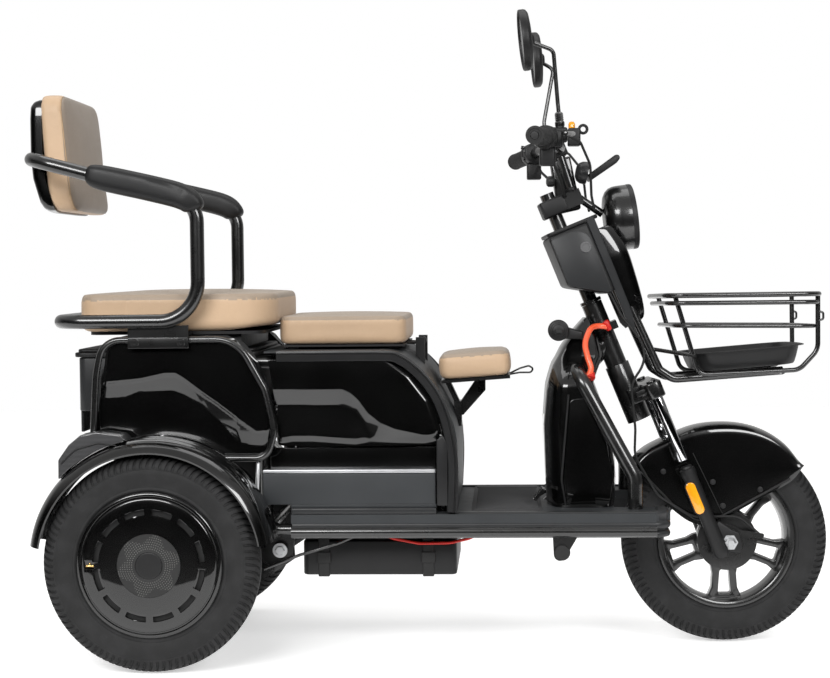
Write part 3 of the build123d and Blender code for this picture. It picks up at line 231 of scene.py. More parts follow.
def prism(name, points, rise, ease=0.0, steps=3, angle=32):
    """Flat outline drawn out by a vector, its edges eased."""
    piece = loop(name, points, face=True)
    edit(piece)
    bpy.ops.mesh.extrude_region_move(TRANSFORM_OT_translate={"value": Vector(rise) * MM})
    closed(piece)
    return eased(piece, ease, steps, angle) if ease else piece


def slab(name, outline, y_low, y_high, ease=0.0, steps=3):
    """Side outline (x, z) given its thickness across the scooter."""
    points = [(x, y_low, z) for x, z in outline]
    return prism(name, points, (0, y_high - y_low, 0), ease, steps)


def case(name, low, high, corner, ease, steps=3):
    """Box with rounded upright corners and eased edges."""
    (x0, y0, z0), (x1, y1, z1) = low, high
    plan = cornered(oblong(x0, y0, x1, y1), corner)
    return prism(name, [(x, y, z0) for x, y in plan], (0, 0, z1 - z0), ease, steps)


def turned(name, profile, at=(0, 0, 0), axis=(0, 1, 0), steps=48, angle=38):
    """Ring or solid turned about an axis; profile points are (radius, along) in millimetres."""
    piece = loop(name, [(r, 0, a) for r, a in profile])
    edit(piece)
    bpy.ops.mesh.spin(steps=steps, angle=2 * pi, center=(0, 0, 0), axis=(0, 0, 1))
    closed(piece)
    turn = Vector((0, 0, 1)).rotation_difference(Vector(axis)).to_matrix().to_4x4()
    return smooth(moved(piece, shift(*at) @ turn), angle)


def rod(name, start, end, radius, ease=1.0, steps=24):
    """Straight round bar with eased ends."""
    start, end = Vector(start), Vector(end)
    length = (end - start).length
    edge = min(ease, radius * 0.9)
    profile = [(0, 0), (radius - edge, 0), (radius - edge * 0.3, edge * 0.3), (radius, edge)]
    profile += [(r, length - a) for r, a in reversed(profile)]
    return turned(name, profile, start, (end - start).normalized(), steps)


def sign(value):
    """1 for a positive value, -1 for any other."""
    return 1 if value > 0 else -1


def power(value, exponent):
    """Power of a value's size, with its sign kept."""
    return abs(value) ** exponent * sign(value)


def oblong(x0, y0, x1, y1):
    """The four corners of a rectangle."""
    return [(x0, y0), (x1, y0), (x1, y1), (x0, y1)]


def cornered(points, radius, step=15):
    """Closed flat outline with its corners rounded."""
    path = bent([(x, y, 0) for x, y in points], radius, True, step)
    return [(p.x, p.y) for p in path]


def bent(points, bends, ring=False, step=9):
    """Path through points with an arc at each corner."""
    spots = [Vector(p) for p in points]
    count, path = len(spots), []
    for i, spot in enumerate(spots):
        if not ring and i in (0, count - 1):
            path.append(spot)
            continue
        back = (spots[i - 1] - spot).normalized()
        ahead = (spots[(i + 1) % count] - spot).normalized()
        turn = pi - back.angle(ahead)
        radius = bends[i - (not ring)] if isinstance(bends, (list, tuple)) else bends
        if turn < 0.02 or radius <= 0:
            path.append(spot)
            continue
        first = spot + back * radius * tan(turn / 2)
        last = spot + ahead * radius * tan(turn / 2)
        hub = spot + (back + ahead).normalized() * radius / cos(turn / 2)
        axis = (first - hub).cross(last - hub).normalized()
        pieces = max(2, ceil(turn / radians(step)))
        for k in range(pieces + 1):
            path.append(hub + Matrix.Rotation(turn * k / pieces, 3, axis) @ (first - hub))
    return path


def pipe(name, points, radius, bends=0.0, ring=False, sides=5, step=9):
    """Round tube along a path with rounded corners."""
    path = bent(points, bends, ring, step)
    line = bpy.data.curves.new(name, "CURVE")
    line.dimensions = "3D"
    line.bevel_depth = radius * MM
    line.bevel_resolution = sides
    line.use_fill_caps = True
    spline = line.splines.new("POLY")
    spline.points.add(len(path) - 1)
    for point, spot in zip(spline.points, path):
        point.co = (*(spot * MM), 1)
    spline.use_cyclic_u = ring
    tube = bpy.data.objects.new(name, line)
    bpy.context.scene.collection.objects.link(tube)
    grab(tube)
    bpy.ops.object.convert(target="MESH")
    return smooth(closed(named(name)), 50)


def spanned(name, place, across, along):
    """Grid whose points follow place(u, v), with u and v from 0 to 1."""
    clear()
    bpy.ops.mesh.primitive_grid_add(x_subdivisions=across, y_subdivisions=along, size=1)
    piece = named(name)
    for vertex in piece.data.vertices:
        vertex.co = Vector(place(vertex.co.x + 0.5, vertex.co.y + 0.5)) * MM
    return piece


def wrapped(name, columns, rows, place):
    """Closed ring of faces whose points follow place(column, row)."""
    clear()
    bpy.ops.mesh.primitive_grid_add(x_subdivisions=columns, y_subdivisions=rows, size=1)
    piece = named(name)
    for number, vertex in enumerate(piece.data.vertices):
        column, row = number % (columns + 1), number // (columns + 1)
        vertex.co = Vector(place(column % columns, row)) * MM
    return closed(piece)


def sheet(name, place, across, along, wall=0.0, face=(0, 0, 1)):
    """Skin whose points follow place(u, v), given a wall on its back."""
    piece = spanned(name, place, across, along)
    edit(piece)
    bpy.ops.mesh.remove_doubles(threshold=WELD)
    bpy.ops.mesh.normals_make_consistent(inside=False)
    bpy.ops.object.mode_set(mode="OBJECT")
    outside = sum((p.normal * p.area for p in piece.data.polygons), Vector())
    if outside.dot(Vector(face)) < 0:
        edit(piece)
        bpy.ops.mesh.flip_normals()
        bpy.ops.object.mode_set(mode="OBJECT")
    if wall:
        modify(piece, "SOLIDIFY", thickness=wall * MM, offset=-1)
    return smooth(piece, 48)


def swept(name, path, profile):
    """Profile (outwards, across) carried along an open side-view path (x, z)."""
    count, sides = len(path), len(profile)
    frames = []
    for i, (x, z) in enumerate(path):
        before, after = path[max(i - 1, 0)], path[min(i + 1, count - 1)]
        run = Vector((after[0] - before[0], after[1] - before[1])).normalized()
        frames.append((x, z, -run.y, run.x))

    def place(u, v):
        x, z, out_x, out_z = frames[round(u * (count - 1))]
        out, side = profile[round(v * sides) % sides]
        return x + out_x * out, side, z + out_z * out

    return smooth(closed(spanned(name, place, count - 1, sides)))


def line(points, curved=False):
    """Function from 0..1 to a point on a line through points, by length."""
    spots = [Vector(p) for p in points]
    if curved:
        ends = [spots[0] * 2 - spots[1]] + spots + [spots[-1] * 2 - spots[-2]]
        fine = []
        for a, b, c, d in zip(ends, ends[1:], ends[2:], ends[3:]):
            for k in range(8):
                t = k / 8
                pull = (c - a) * t + (a * 2 - b * 5 + c * 4 - d) * t * t
                fine.append((b * 2 + pull + (b * 3 - a - c * 3 + d) * t ** 3) / 2)
        spots = fine + [spots[-1]]
    reach = [0.0]
    for a, b in zip(spots, spots[1:]):
        reach.append(reach[-1] + (b - a).length)

    def at(t):
        goal = min(max(t, 0), 1) * reach[-1]
        for a, b, near, far in zip(spots, spots[1:], reach, reach[1:]):
            if goal <= far:
                return a.lerp(b, (goal - near) / max(far - near, 1e-9))
        return spots[-1].copy()

    return at


def ramp(value, low, high):
    """Smooth step from 0 at low to 1 at high."""
    share = min(max((value - low) / (high - low), 0), 1)
    return share * share * (3 - 2 * share)


def from_edge(x, z, outline):
    """Distance of a point from a closed outline, positive inside it."""
    spot, nearest, inside = Vector((x, z)), 1e9, False
    for (ax, az), (bx, bz) in zip(outline, outline[1:] + outline[:1]):
        start, run = Vector((ax, az)), Vector((bx - ax, bz - az))
        share = min(max((spot - start).dot(run) / max(run.length_squared, 1e-9), 0), 1)
        nearest = min(nearest, (spot - start - run * share).length)
        if (az > z) != (bz > z) and x < ax + (z - az) * (bx - ax) / (bz - az):
            inside = not inside
    return nearest if inside else -nearest


def table(x, pairs):
    """Value read from (x, value) pairs, joined by straight lines."""
    for (ax, a), (bx, b) in zip(pairs, pairs[1:]):
        if x <= bx:
            return a + (b - a) * min(max((x - ax) / (bx - ax), 0), 1)
    return pairs[-1][1]


def keep(piece, body, slot, finish, *nodes):
    """Give a piece its body and named finish, in place of its nodes; the slot is not used."""
    piece.data.materials.clear()
    piece.data.materials.append(FINISHES[finish].material)
    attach(piece, body)
    if nodes:
        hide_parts(*nodes)
    return piece


def coat(finish, *nodes):
    """Give frame nodes a named finish."""
    for node in nodes:
        data = NODES[node].data
        data.materials.clear()
        data.materials.append(FINISHES[finish].material)


# ---------------------------------------------------------------- sizes and colours
def length(name, description, value, low=0.0001, high=2.0):
    """Length property in metres."""
    return FloatProperty(
        name=name, description=description, default=value, min=low, max=high, unit="LENGTH"
    )


def tint(name, description, colour):
    """Colour property."""
    return FloatVectorProperty(
        name=name, description=description, default=colour, subtype="COLOR", min=0, max=1
    )


class ScooterSizes(PropertyGroup):
    """Sizes of the details that the frame leaves open."""

    panel_wall: length("Panel wall", "Thickness of the moulded panels", 0.0025)
    sipe_count: IntProperty(
        name="Tread blocks", description="Shoulder blocks round a tyre", default=96, min=24, max=200
    )
    sipe_depth: length("Tread depth", "Depth of the cuts in the tyre shoulder", 0.0035)
    slot_count: IntProperty(
        name="Cover slots", description="Slots round a rear wheel cover", default=12, min=3, max=36
    )
    mat_pitch: length("Mat rib pitch", "Distance between the ribs of the floor mat", 0.014)
    spring_wire: length("Spring wire", "Diameter of the damper spring wire", 0.0075)
    spring_turns: IntProperty(
        name="Spring turns", description="Turns of a damper spring", default=9, min=3, max=20
    )
    wire: length("Basket wire", "Diameter of the thin basket wires", 0.0055)
    seam: length("Seam cord", "Diameter of the seam cord of the backrest", 0.0024)
    seat_puff: length("Seat puff", "How far the seat padding may swell", 0.024)


class ScooterColours(PropertyGroup):
    """Colours of the finishes."""

    gloss: tint("Gloss panels", "Glossy black bodywork", (0.001, 0.001, 0.001))
    satin: tint("Satin trim", "Dark satin channels and lower panels", (0.017, 0.0176, 0.0185))
    plastic: tint("Moulded plastic", "Grained black plastic", (0.0065, 0.0065, 0.0068))
    enamel: tint("Frame enamel", "Black enamel of the tubes", (0.004, 0.004, 0.004))
    rubber: tint("Rubber", "Grips, boots and mat", (0.0085, 0.0085, 0.0085))
    tyre: tint("Tyres", "Tyre rubber", (0.011, 0.011, 0.0113))
    leather_top: tint("Seat tops", "Grey-beige leather of the seat tops", (0.29, 0.227, 0.168))
    leather_side: tint("Seat sides", "Peach leather of the seat sides", (0.475, 0.33, 0.21))
    thread: tint("Thread", "Seam cord of the backrest", (0.27, 0.185, 0.11))
    reflector: tint("Reflectors", "Amber reflectors on the fork", (0.95, 0.33, 0.01))
    sheath: tint("Sheath", "Orange-red cable sheath", (0.85, 0.11, 0.04))


def maths(name, swapped=False):
    """Method of Value that adds one maths node."""

    def method(value, other):
        return value.sum(name, *((other, value) if swapped else (value, other)))

    return method


class Value:
    """A number or colour that varies over a finish, so that maths reads as an expression."""

    def __init__(self, finish, socket):
        self.finish, self.socket = finish, socket

    def sum(self, operation, *values):
        settings = {"operation": operation}
        return self.finish.node("ShaderNodeMath", settings, dict(enumerate(values)))

    __add__, __radd__ = maths("ADD"), maths("ADD", True)
    __sub__, __rsub__ = maths("SUBTRACT"), maths("SUBTRACT", True)
    __mul__, __rmul__ = maths("MULTIPLY"), maths("MULTIPLY", True)
    __truediv__, __pow__ = maths("DIVIDE"), maths("POWER")
    __lt__, __gt__ = maths("LESS_THAN"), maths("GREATER_THAN")

    def part(self):
        return self.sum("FRACT", self)

    def whole(self):
        return self.sum("FLOOR", self)

    def wave(self):
        return self.sum("SINE", self)

    def step(self, low, high):
        settings = {"interpolation_type": "SMOOTHSTEP"}
        values = {"Value": self, "From Min": low, "From Max": high}
        return self.finish.node("ShaderNodeMapRange", settings, values)


class Finish:
    """One procedural finish, drawn in the piece's own space in millimetres."""

    def __init__(self, name, colour, rough, **constants):
        self.material = bpy.data.materials.new(name)
        self.material.use_nodes = True
        self.tree = self.material.node_tree
        self.shader = self.tree.nodes["Principled BSDF"]
        self.shader.inputs["Base Color"].default_value = (*colour[:3], 1)
        self.shader.inputs["Roughness"].default_value = rough
        for socket, value in constants.items():
            self.shader.inputs[socket.replace("_", " ")].default_value = value
        own = self.node("ShaderNodeTexCoord", out="Object")
        self.place = self.node(
            "ShaderNodeVectorMath", {"operation": "SCALE"}, {0: own, "Scale": 1000.0}
        )

    def node(self, kind, settings=None, inputs=None, out=0):
        """Add a node: its settings first, then the values or links of its sockets."""
        node = self.tree.nodes.new(kind)
        for key, value in (settings or {}).items():
            if key == "stops":
                band = node.color_ramp
                while len(band.elements) < len(value):
                    band.elements.new(1.0)
                for element, (spot, colour) in zip(band.elements, value):
                    element.position = spot
                    element.color = (*colour[:3], 1)
            else:
                setattr(node, key, value)
        for key, value in (inputs or {}).items():
            socket = node.inputs[key]
            if isinstance(value, Value):
                self.tree.links.new(value.socket, socket)
            elif socket.type == "RGBA":
                socket.default_value = (*value[:3], 1)
            else:
                socket.default_value = value
        return Value(self, node.outputs[out])

    def feed(self, socket, value):
        """Let a value that varies over the surface drive one socket of the shader."""
        self.tree.links.new(value.socket, self.shader.inputs[socket])
        return self

    def noise(self, size, detail=3.0, stretch=(1, 1, 1)):
        """Cloudy pattern between 0 and 1, of a size in millimetres."""
        spot = self.place
        if stretch != (1, 1, 1):
            spot = self.node("ShaderNodeMapping", None, {"Vector": spot, "Scale": stretch})
        values = {"Vector": spot, "Scale": 1 / size, "Detail": detail}
        return self.node("ShaderNodeTexNoise", None, values)

    def cells(self, size, feature="DISTANCE_TO_EDGE", random=1.0):
        """Cell pattern of a size in millimetres."""
        values = {"Vector": self.place, "Scale": 1 / size, "Randomness": random}
        return self.node("ShaderNodeTexVoronoi", {"feature": feature}, values)

    def axes(self):
        """The three coordinates of a point, in millimetres."""
        kind = "ShaderNodeSeparateXYZ"
        return [self.node(kind, None, {0: self.place}, axis) for axis in "XYZ"]

    def polar(self, x, z):
        """Radius and turn (0 to 1) of a point about an axle at x, z."""
        across, _, up = self.axes()
        east, north = across - x, up - z
        radius = (east * east + north * north) ** 0.5
        return radius, east.sum("ARCTAN2", north, east) / (2 * pi) + 0.5

    def upward(self, low=0.55, high=0.98):
        """1 where the surface faces up, 0 where it doesn't."""
        normal = self.node("ShaderNodeNewGeometry", out="Normal")
        return self.node("ShaderNodeSeparateXYZ", None, {0: normal}, "Z").step(low, high)

    def mix(self, mask, first, second):
        """First colour where the mask is 0, second where it is 1."""
        values = {0: mask, 6: first, 7: second}
        return self.node("ShaderNodeMix", {"data_type": "RGBA"}, values, 2)

    def bump(self, height, distance, strength=1.0):
        """Surface relief: a height between 0 and 1 standing so many millimetres."""
        values = {"Height": height, "Distance": distance * MM, "Strength": strength}
        return self.feed("Normal", self.node("ShaderNodeBump", None, values, "Normal"))


def shade(colour, gain):
    """A colour made lighter or darker."""
    return tuple(min(1.0, part * gain) for part in colour[:3])


def gloss_finish(name, colour):
    """Lacquered moulding: mirror-like coat, faint ripple, a breath of dust on top."""
    finish = Finish(name, colour, 0.22, Coat_Weight=1.0, Coat_Roughness=0.03,
        Specular_IOR_Level=0.2)
    dust = finish.upward(0.72, 1.0) * finish.noise(38, 5).step(0.42, 0.72)
    finish.feed("Base Color", finish.mix(dust * 0.4, colour, (0.02, 0.02, 0.019)))
    finish.feed("Roughness", 0.18 + finish.noise(60, 4) * 0.12 + dust * 0.1)
    return finish.bump(finish.noise(40, 1), 0.08, 0.4)


def satin_finish(name, colour, rough=0.42, grain=0.55, relief=0.05):
    """Moulded plastic with a fine grain, rubbed a little lighter here and there."""
    finish = Finish(name, colour, rough, Specular_IOR_Level=0.32)
    cloud = finish.noise(70, 4)
    finish.feed("Base Color", finish.mix(cloud, shade(colour, 0.8), shade(colour, 1.35)))
    finish.feed("Roughness", rough - 0.06 + finish.noise(24, 4) * 0.14)
    pits = finish.cells(grain, "F1")
    return finish.bump(pits * 0.6 + finish.noise(grain * 3, 2) * 0.4, relief, 0.5)


def enamel_finish(name, colour):
    """Baked enamel on steel tube."""
    finish = Finish(name, colour, 0.26, Coat_Weight=0.6, Coat_Roughness=0.09)
    cloud = finish.noise(45, 4)
    finish.feed("Base Color", finish.mix(cloud, shade(colour, 0.8), shade(colour, 1.6)))
    finish.feed("Roughness", 0.2 + cloud * 0.16)
    return finish.bump(finish.noise(3.5, 2), 0.03, 0.5)


def rubber_finish(name, colour):
    """Matt rubber with a dusty bloom."""
    finish = Finish(name, colour, 0.66, Specular_IOR_Level=0.35)
    bloom = finish.noise(18, 5)
    finish.feed("Base Color", finish.mix(bloom, shade(colour, 0.75), shade(colour, 1.9)))
    finish.feed("Roughness", 0.55 + bloom * 0.25)
    return finish.bump(finish.noise(0.9, 3), 0.05, 0.6)


def tyre_finish(name, colour):
    """Tyre rubber: scuffed tread and patches of dust."""
    finish = Finish(name, colour, 0.7, Specular_IOR_Level=0.28)
    bloom, scuff = finish.noise(30, 6), finish.noise(4.5, 5)
    dusty = bloom.step(0.35, 0.8) * 0.5 + scuff.step(0.55, 0.8) * 0.35
    finish.feed("Base Color", finish.mix(dusty, shade(colour, 0.8), shade(colour, 2.5)))
    finish.feed("Roughness", 0.52 + bloom * 0.2 + scuff * 0.12)
    return finish.bump(scuff * 0.5 + finish.noise(1.1, 3) * 0.5, 0.12, 0.55)


def leather_finish(name, colour):
    """Soft coated leather: pebbled grain, fine creases and an uneven tone."""
    finish = Finish(name, colour, 0.52, Specular_IOR_Level=0.4, Sheen_Weight=0.12)
    tone, smudge = finish.noise(85, 4), finish.noise(16, 6)
    pebble = finish.cells(1.35).step(0.0, 0.16)
    crease = finish.cells(9.5).step(0.0, 0.05)
    light = tone * 0.55 + smudge * 0.2 + pebble * 0.25
    finish.feed("Base Color", finish.mix(light, shade(colour, 0.82), shade(colour, 1.1)))
    finish.feed("Roughness", 0.62 - pebble * 0.1 - smudge * 0.12)
    return finish.bump(pebble * 0.7 + crease * 0.15 + finish.noise(5, 4) * 0.3, 0.16, 0.5)


def metal_finish(name, colour, rough, streak=(1, 1, 1)):
    """Bare or plated metal with a drawn grain."""
    finish = Finish(name, colour, rough, Metallic=1.0)
    grain, cloud = finish.noise(1.6, 3, streak), finish.noise(22, 4)
    finish.feed("Base Color", finish.mix(cloud, shade(colour, 0.82), shade(colour, 1.08)))
    finish.feed("Roughness", rough * (0.65 + grain * 0.5 + cloud * 0.25))
    return finish.bump(grain, 0.01, 0.35)


def reflector_finish(name, colour):
    """Amber reflector: small prisms under a clear face, and a painted glow."""
    finish = Finish(name, colour, 0.12, Coat_Weight=1.0, Coat_Roughness=0.04)
    prism = finish.cells(2.4, "F1", 0.0)
    finish.feed("Base Color", finish.mix(prism, shade(colour, 1.25), shade(colour, 0.45)))
    # painted glow: emission makes the reflector shine by itself, though it is no lamp
    painted_glow = finish.mix(prism, shade(colour, 0.30), shade(colour, 0.08))
    finish.feed("Emission Color", painted_glow)
    finish.shader.inputs["Emission Strength"].default_value = 0.75
    return finish.bump(prism, 0.4, 0.6)


def sheath_finish(name, colour):
    """Corrugated cable sheath."""
    finish = Finish(name, colour, 0.36, Coat_Weight=0.3)
    _, across, up = finish.axes()
    rings = ((up - across * 0.4) * (2 * pi / 2.6)).wave() * 0.5 + 0.5
    finish.feed("Base Color", finish.mix(rings, shade(colour, 0.85), shade(colour, 1.05)))
    finish.feed("Roughness", 0.3 + finish.noise(9, 3) * 0.15)
    return finish.bump(rings, 0.12, 0.4)


def lens_finish(name, colour, rough=0.08):
    """Moulded lamp lens with fine upright flutes."""
    finish = Finish(name, colour, rough, Coat_Weight=1.0, Coat_Roughness=0.03)
    _, across, up = finish.axes()
    flutes = (across * (2 * pi / 5.0)).wave() * 0.5 + 0.5
    lines = (up * (2 * pi / 9.0)).wave() * 0.5 + 0.5
    finish.feed("Base Color", finish.mix(flutes * lines, shade(colour, 0.7), shade(colour, 1.15)))
    finish.feed("Roughness", rough + finish.noise(20, 3) * 0.1)
    return finish.bump(flutes, 0.4, 0.4)


def sieve_finish(name, colour):
    """Black disc pierced by rings of small holes that show the bright mesh behind."""
    finish = Finish(name, colour, 0.4, Specular_IOR_Level=0.5)
    radius, turn = finish.polar(REAR, AXLE_Z)
    pitch = 4.3
    ring = (radius / pitch).whole() + 0.5
    around_ring = ring * (2 * pi)
    count = around_ring.sum("ROUND", around_ring)
    along = ((turn * count).part() - 0.5) * (around_ring / count)
    out = (radius / pitch).part() - 0.5
    hole = 1 - ((along * along + out * out) ** 0.5).step(0.2, 0.3)
    lobes = (turn * (2 * pi * 6)).wave() * 8
    hole = hole * (radius > 31) * (radius - lobes < 52)
    finish.feed("Base Color", finish.mix(hole, colour, (0.11, 0.11, 0.105)))
    finish.feed("Metallic", hole * 0.6)
    finish.feed("Roughness", 0.42 - hole * 0.12 + finish.noise(12, 3) * 0.1)
    return finish.bump(1 - hole, 0.5, 0.6)


FINISHES = {}


def make_finishes():
    """Build every finish from the colours in the panel."""
    look = bpy.context.scene.scooter_colours
    FINISHES.update(
        gloss=gloss_finish("gloss_black_lacquer", look.gloss),
        satin=satin_finish("dark_satin_trim", look.satin, 0.36, 0.5, 0.04),
        plastic=satin_finish("grained_black_plastic", look.plastic, 0.46, 0.8, 0.09),
        board=satin_finish("charcoal_grained_board", (0.023, 0.025, 0.027), 0.5, 1.2, 0.1),
        enamel=enamel_finish("black_frame_enamel", look.enamel),
        channel=satin_finish("channel_satin", (0.009, 0.009, 0.0094), 0.36, 0.5, 0.03),
        rubber=rubber_finish("matt_rubber", look.rubber),
        mat=rubber_finish("floor_mat_rubber", (0.026, 0.026, 0.027)),
        tyre=tyre_finish("tyre_rubber", look.tyre),
        rim=enamel_finish("rim_black_enamel", (0.006, 0.006, 0.006)),
        sieve=sieve_finish("wheel_cover_sieve", (0.006, 0.006, 0.006)),
        top=leather_finish("seat_top_leather", look.leather_top),
        # backrest front: the seat-top leather darkened, a painted shade
        back=leather_finish("backrest_front_leather_painted_shade", (0.23, 0.185, 0.145)),
        side=leather_finish("seat_side_leather", look.leather_side),
        thread=rubber_finish("seat_thread", look.thread),
        chrome=metal_finish("polished_chrome", (0.80, 0.80, 0.82), 0.08),
        steel=metal_finish("zinc_plated_steel", (0.60, 0.61, 0.62), 0.42, (1, 6, 1)),
        brass=metal_finish("valve_brass", (0.72, 0.50, 0.20), 0.22),
        reflector=reflector_finish("amber_reflector_painted_glow", look.reflector),
        sheath=sheath_finish("orange_cable_sheath", look.sheath),
        button=satin_finish("button_grey", (0.10, 0.10, 0.102), 0.4, 0.6, 0.03),
        red=satin_finish("red_connector", (0.45, 0.015, 0.01), 0.35, 0.7, 0.03),
        lamp=lens_finish("clear_lamp_lens", (0.42, 0.43, 0.45)),
        tail=lens_finish("grey_tail_lens", (0.07, 0.07, 0.072), 0.1),
        mirror=metal_finish("mirror_glass", (0.10, 0.10, 0.11), 0.12),
    )


def cut(piece, *tools):
    """Cut other pieces out of one, and throw them away."""
    for tool in tools:
        modify(piece, "BOOLEAN", object=tool, operation="DIFFERENCE", solver="EXACT")
        bpy.data.objects.remove(tool)
    return piece


def spread(piece, count, centre, axis=(0, 1, 0)):
    """Copies of a piece round an axis, joined into one."""
    turns = [about(centre, 2 * pi * k / count, Vector(axis)) for k in range(1, count)]
    return joined(piece.name, piece, *[twin(piece, turn) for turn in turns])


FRONT_HUB = (FRONT, 0, AXLE_Z)


def wheel_place(side):
    """Matrix that puts a wheel piece drawn at the origin at the left or right rear."""
    flip = MIRROR if side < 0 else Matrix.Identity(4)
    return shift(REAR, side * TRACK, AXLE_Z) @ flip


# ---------------------------------------------------------------- wheels
def tyre(name, count, depth):
    """Tyre about the Y axis, with slanted cuts round its shoulders and two grooves."""
    half = [
        (128, 26), (130, 29.5), (134, 31.5), (138.5, 32.2), (141, 35.2), (143, 36.4),
        (145.5, 36.2), (147, 35.4), (150, 36.5), (156, 38.2), (163, 39.4), (171, 40),
        (178, 39.6), (180, 38.7), (182, 39.1), (186, 38.6), (190, 37.4), (194, 35.4),
        (198, 32.4), (201.5, 28), (204, 22.5), (205.6, 17.5), (206.4, 13.4), (203.6, 12.4),
        (203.6, 10.2), (206.8, 9.2), (207.2, 4.5),
    ]
    section = half + [(r, -y) for r, y in reversed(half)] + half[:1]
    rows, columns = len(section) - 1, count * 4
    steps = (0.0, 0.1, 0.36, 0.46)

    def place(column, row):
        radius, side = section[row]
        block, part = divmod(column, 4)
        reach = max(0.0, abs(side) - 13)
        lean = reach / 26 * (0.9 if side > 0 else -0.9)
        turn = 2 * pi * (block + steps[part] + lean) / count
        shoulder = radius > 184 and abs(side) > 13.2
        if shoulder and part in (1, 2):
            radius -= depth * (0.55 if abs(side) > 37 else 1.0)
            side *= 1 - depth / 90
        return radius * cos(turn), side, radius * sin(turn)

    return smooth(wrapped(name, columns, rows, place), 34)


class SCOOTER_OT_tyres(Operator):
    """Three tyres with cut shoulders and round beads"""

    bl_idname = "scooter.tyres"
    bl_label = "Tyres"

    def execute(self, context):
        sizes = context.scene.scooter_sizes
        first = tyre("tyre_front", sizes.sipe_count, sizes.sipe_depth / MM)
        left = twin(first, wheel_place(1))
        right = twin(first, wheel_place(-1))
        left.name, right.name = "tyre_left", "tyre_right"
        steered(shifted(first, *FRONT_HUB))
        keep(first, "front_wheel", "tyre", "tyre", "front_tyre")
        keep(left, "left_wheel", "tyre", "tyre", "left_tyre")
        keep(right, "right_wheel", "tyre", "tyre", "right_tyre")
        return {"FINISHED"}


def cover_shell(slots):
    """Domed wheel cover about the Y axis, with slots round it and a notch for the valve."""
    shell = turned(
        "wheel_cover",
        [
            (0, 38), (58, 38), (100, 36.8), (135, 36.5), (136.8, 36.8), (137, 37.8),
            (135.6, 39), (132.6, 39.6), (130.4, 39.2), (129.6, 38.3), (127.4, 38.3),
            (126.4, 39.4), (124, 40.2), (118, 41), (108, 41.7), (92, 42.3), (74, 42.5),
            (64, 42.5), (60.3, 42.5), (60.1, 42.3), (60, 40), (27, 40), (0, 40),
        ],
        steps=120,
    )
    tools = []
    half = pi / slots * 0.74
    inner, outer = 96, 106
    for k in range(slots):
        mid = 2 * pi * (k + 0.5) / slots
        arc = [mid - half + 2 * half * i / 8 for i in range(9)]
        ring = [(outer * cos(a), 30, outer * sin(a)) for a in arc]
        ring += [(inner * cos(a), 30, inner * sin(a)) for a in reversed(arc)]
        tools.append(prism("slot", ring, (0, 20, 0)))
    tools.append(case("notch", (-121, 39.2, -7), (-103, 50, 7), 1, 0))
    cut(shell, joined("slots", *tools))
    return smooth(eased(shell, 0.7, 2, 50), 40)


class SCOOTER_OT_wheel_covers(Operator):
    """Slotted covers of the rear wheels with their sieve discs, caps and valves"""

    bl_idname = "scooter.wheel_covers"
    bl_label = "Rear wheel covers"

    def execute(self, context):
        shell = cover_shell(context.scene.scooter_sizes.slot_count)
        backing = turned("cover_backing", [(90, 33), (112, 33), (112, 34), (90, 34)], steps=72)
        sieve = turned(
            "sieve_disc",
            [(26, 40.1), (59.9, 40.1), (59.9, 42.3), (59.7, 42.5), (27, 42.7), (26, 42.4)],
            steps=72,
        )
        cap = turned(
            "hub_cap",
            [(0, 40.1), (25, 40.1), (25.2, 42.8), (24.6, 43.2), (22, 43.3), (12, 43.4), (0, 43.4)],
            steps=48,
        )
        neck = rod("valve", (-112, 39.4, 0), (-112, 39.4, 5), 2.6)
        stem = rod("valve_stem", (-119, 41, 0), (-107, 41, 0), 1.9, 0.4)
        tip = rod("valve_cap", (-107.5, 41, 0), (-104, 41, 0), 2.4, 0.5)
        valve = joined("valve", stem, tip, neck)
        finishes = ("gloss", "rubber", "sieve", "plastic", "brass")
        slots = ("gloss_body", "satin_black", "satin_black", "gloss_body", "alloy")
        for side, word in ((1, "left"), (-1, "right")):
            for piece, finish, slot in zip((shell, backing, sieve, cap, valve), finishes, slots):
                own = twin(piece, wheel_place(side))
                own.name = f"{piece.name.split('.')[0]}_{word}"
                nodes = [f"{word}_cover"] if piece == shell else []
                keep(own, f"{word}_wheel", slot, finish, *nodes)
        for piece in (shell, backing, sieve, cap, valve):
            bpy.data.objects.remove(piece)
        coat("rim", "left_rim", "right_rim")
        return {"FINISHED"}


def front_spoke():
    """Forked spoke of the front rim, pointing down from the hub."""
    outline = [(-25, 38), (25, 38), (27, 56), (24, 72), (26, 100), (36, 123), (-36, 123),
               (-26, 100), (-24, 72), (-27, 56)]
    spoke = slab("spoke", [(x, -z) for x, z in outline], -13, 13)
    window = slab("window", [(-9.5, -64), (9.5, -64), (13.5, -112), (-13.5, -112)], -20, 20)
    cut(spoke, eased(window, 4, 4, 50))
    return eased(spoke, 2.4, 3, 40)


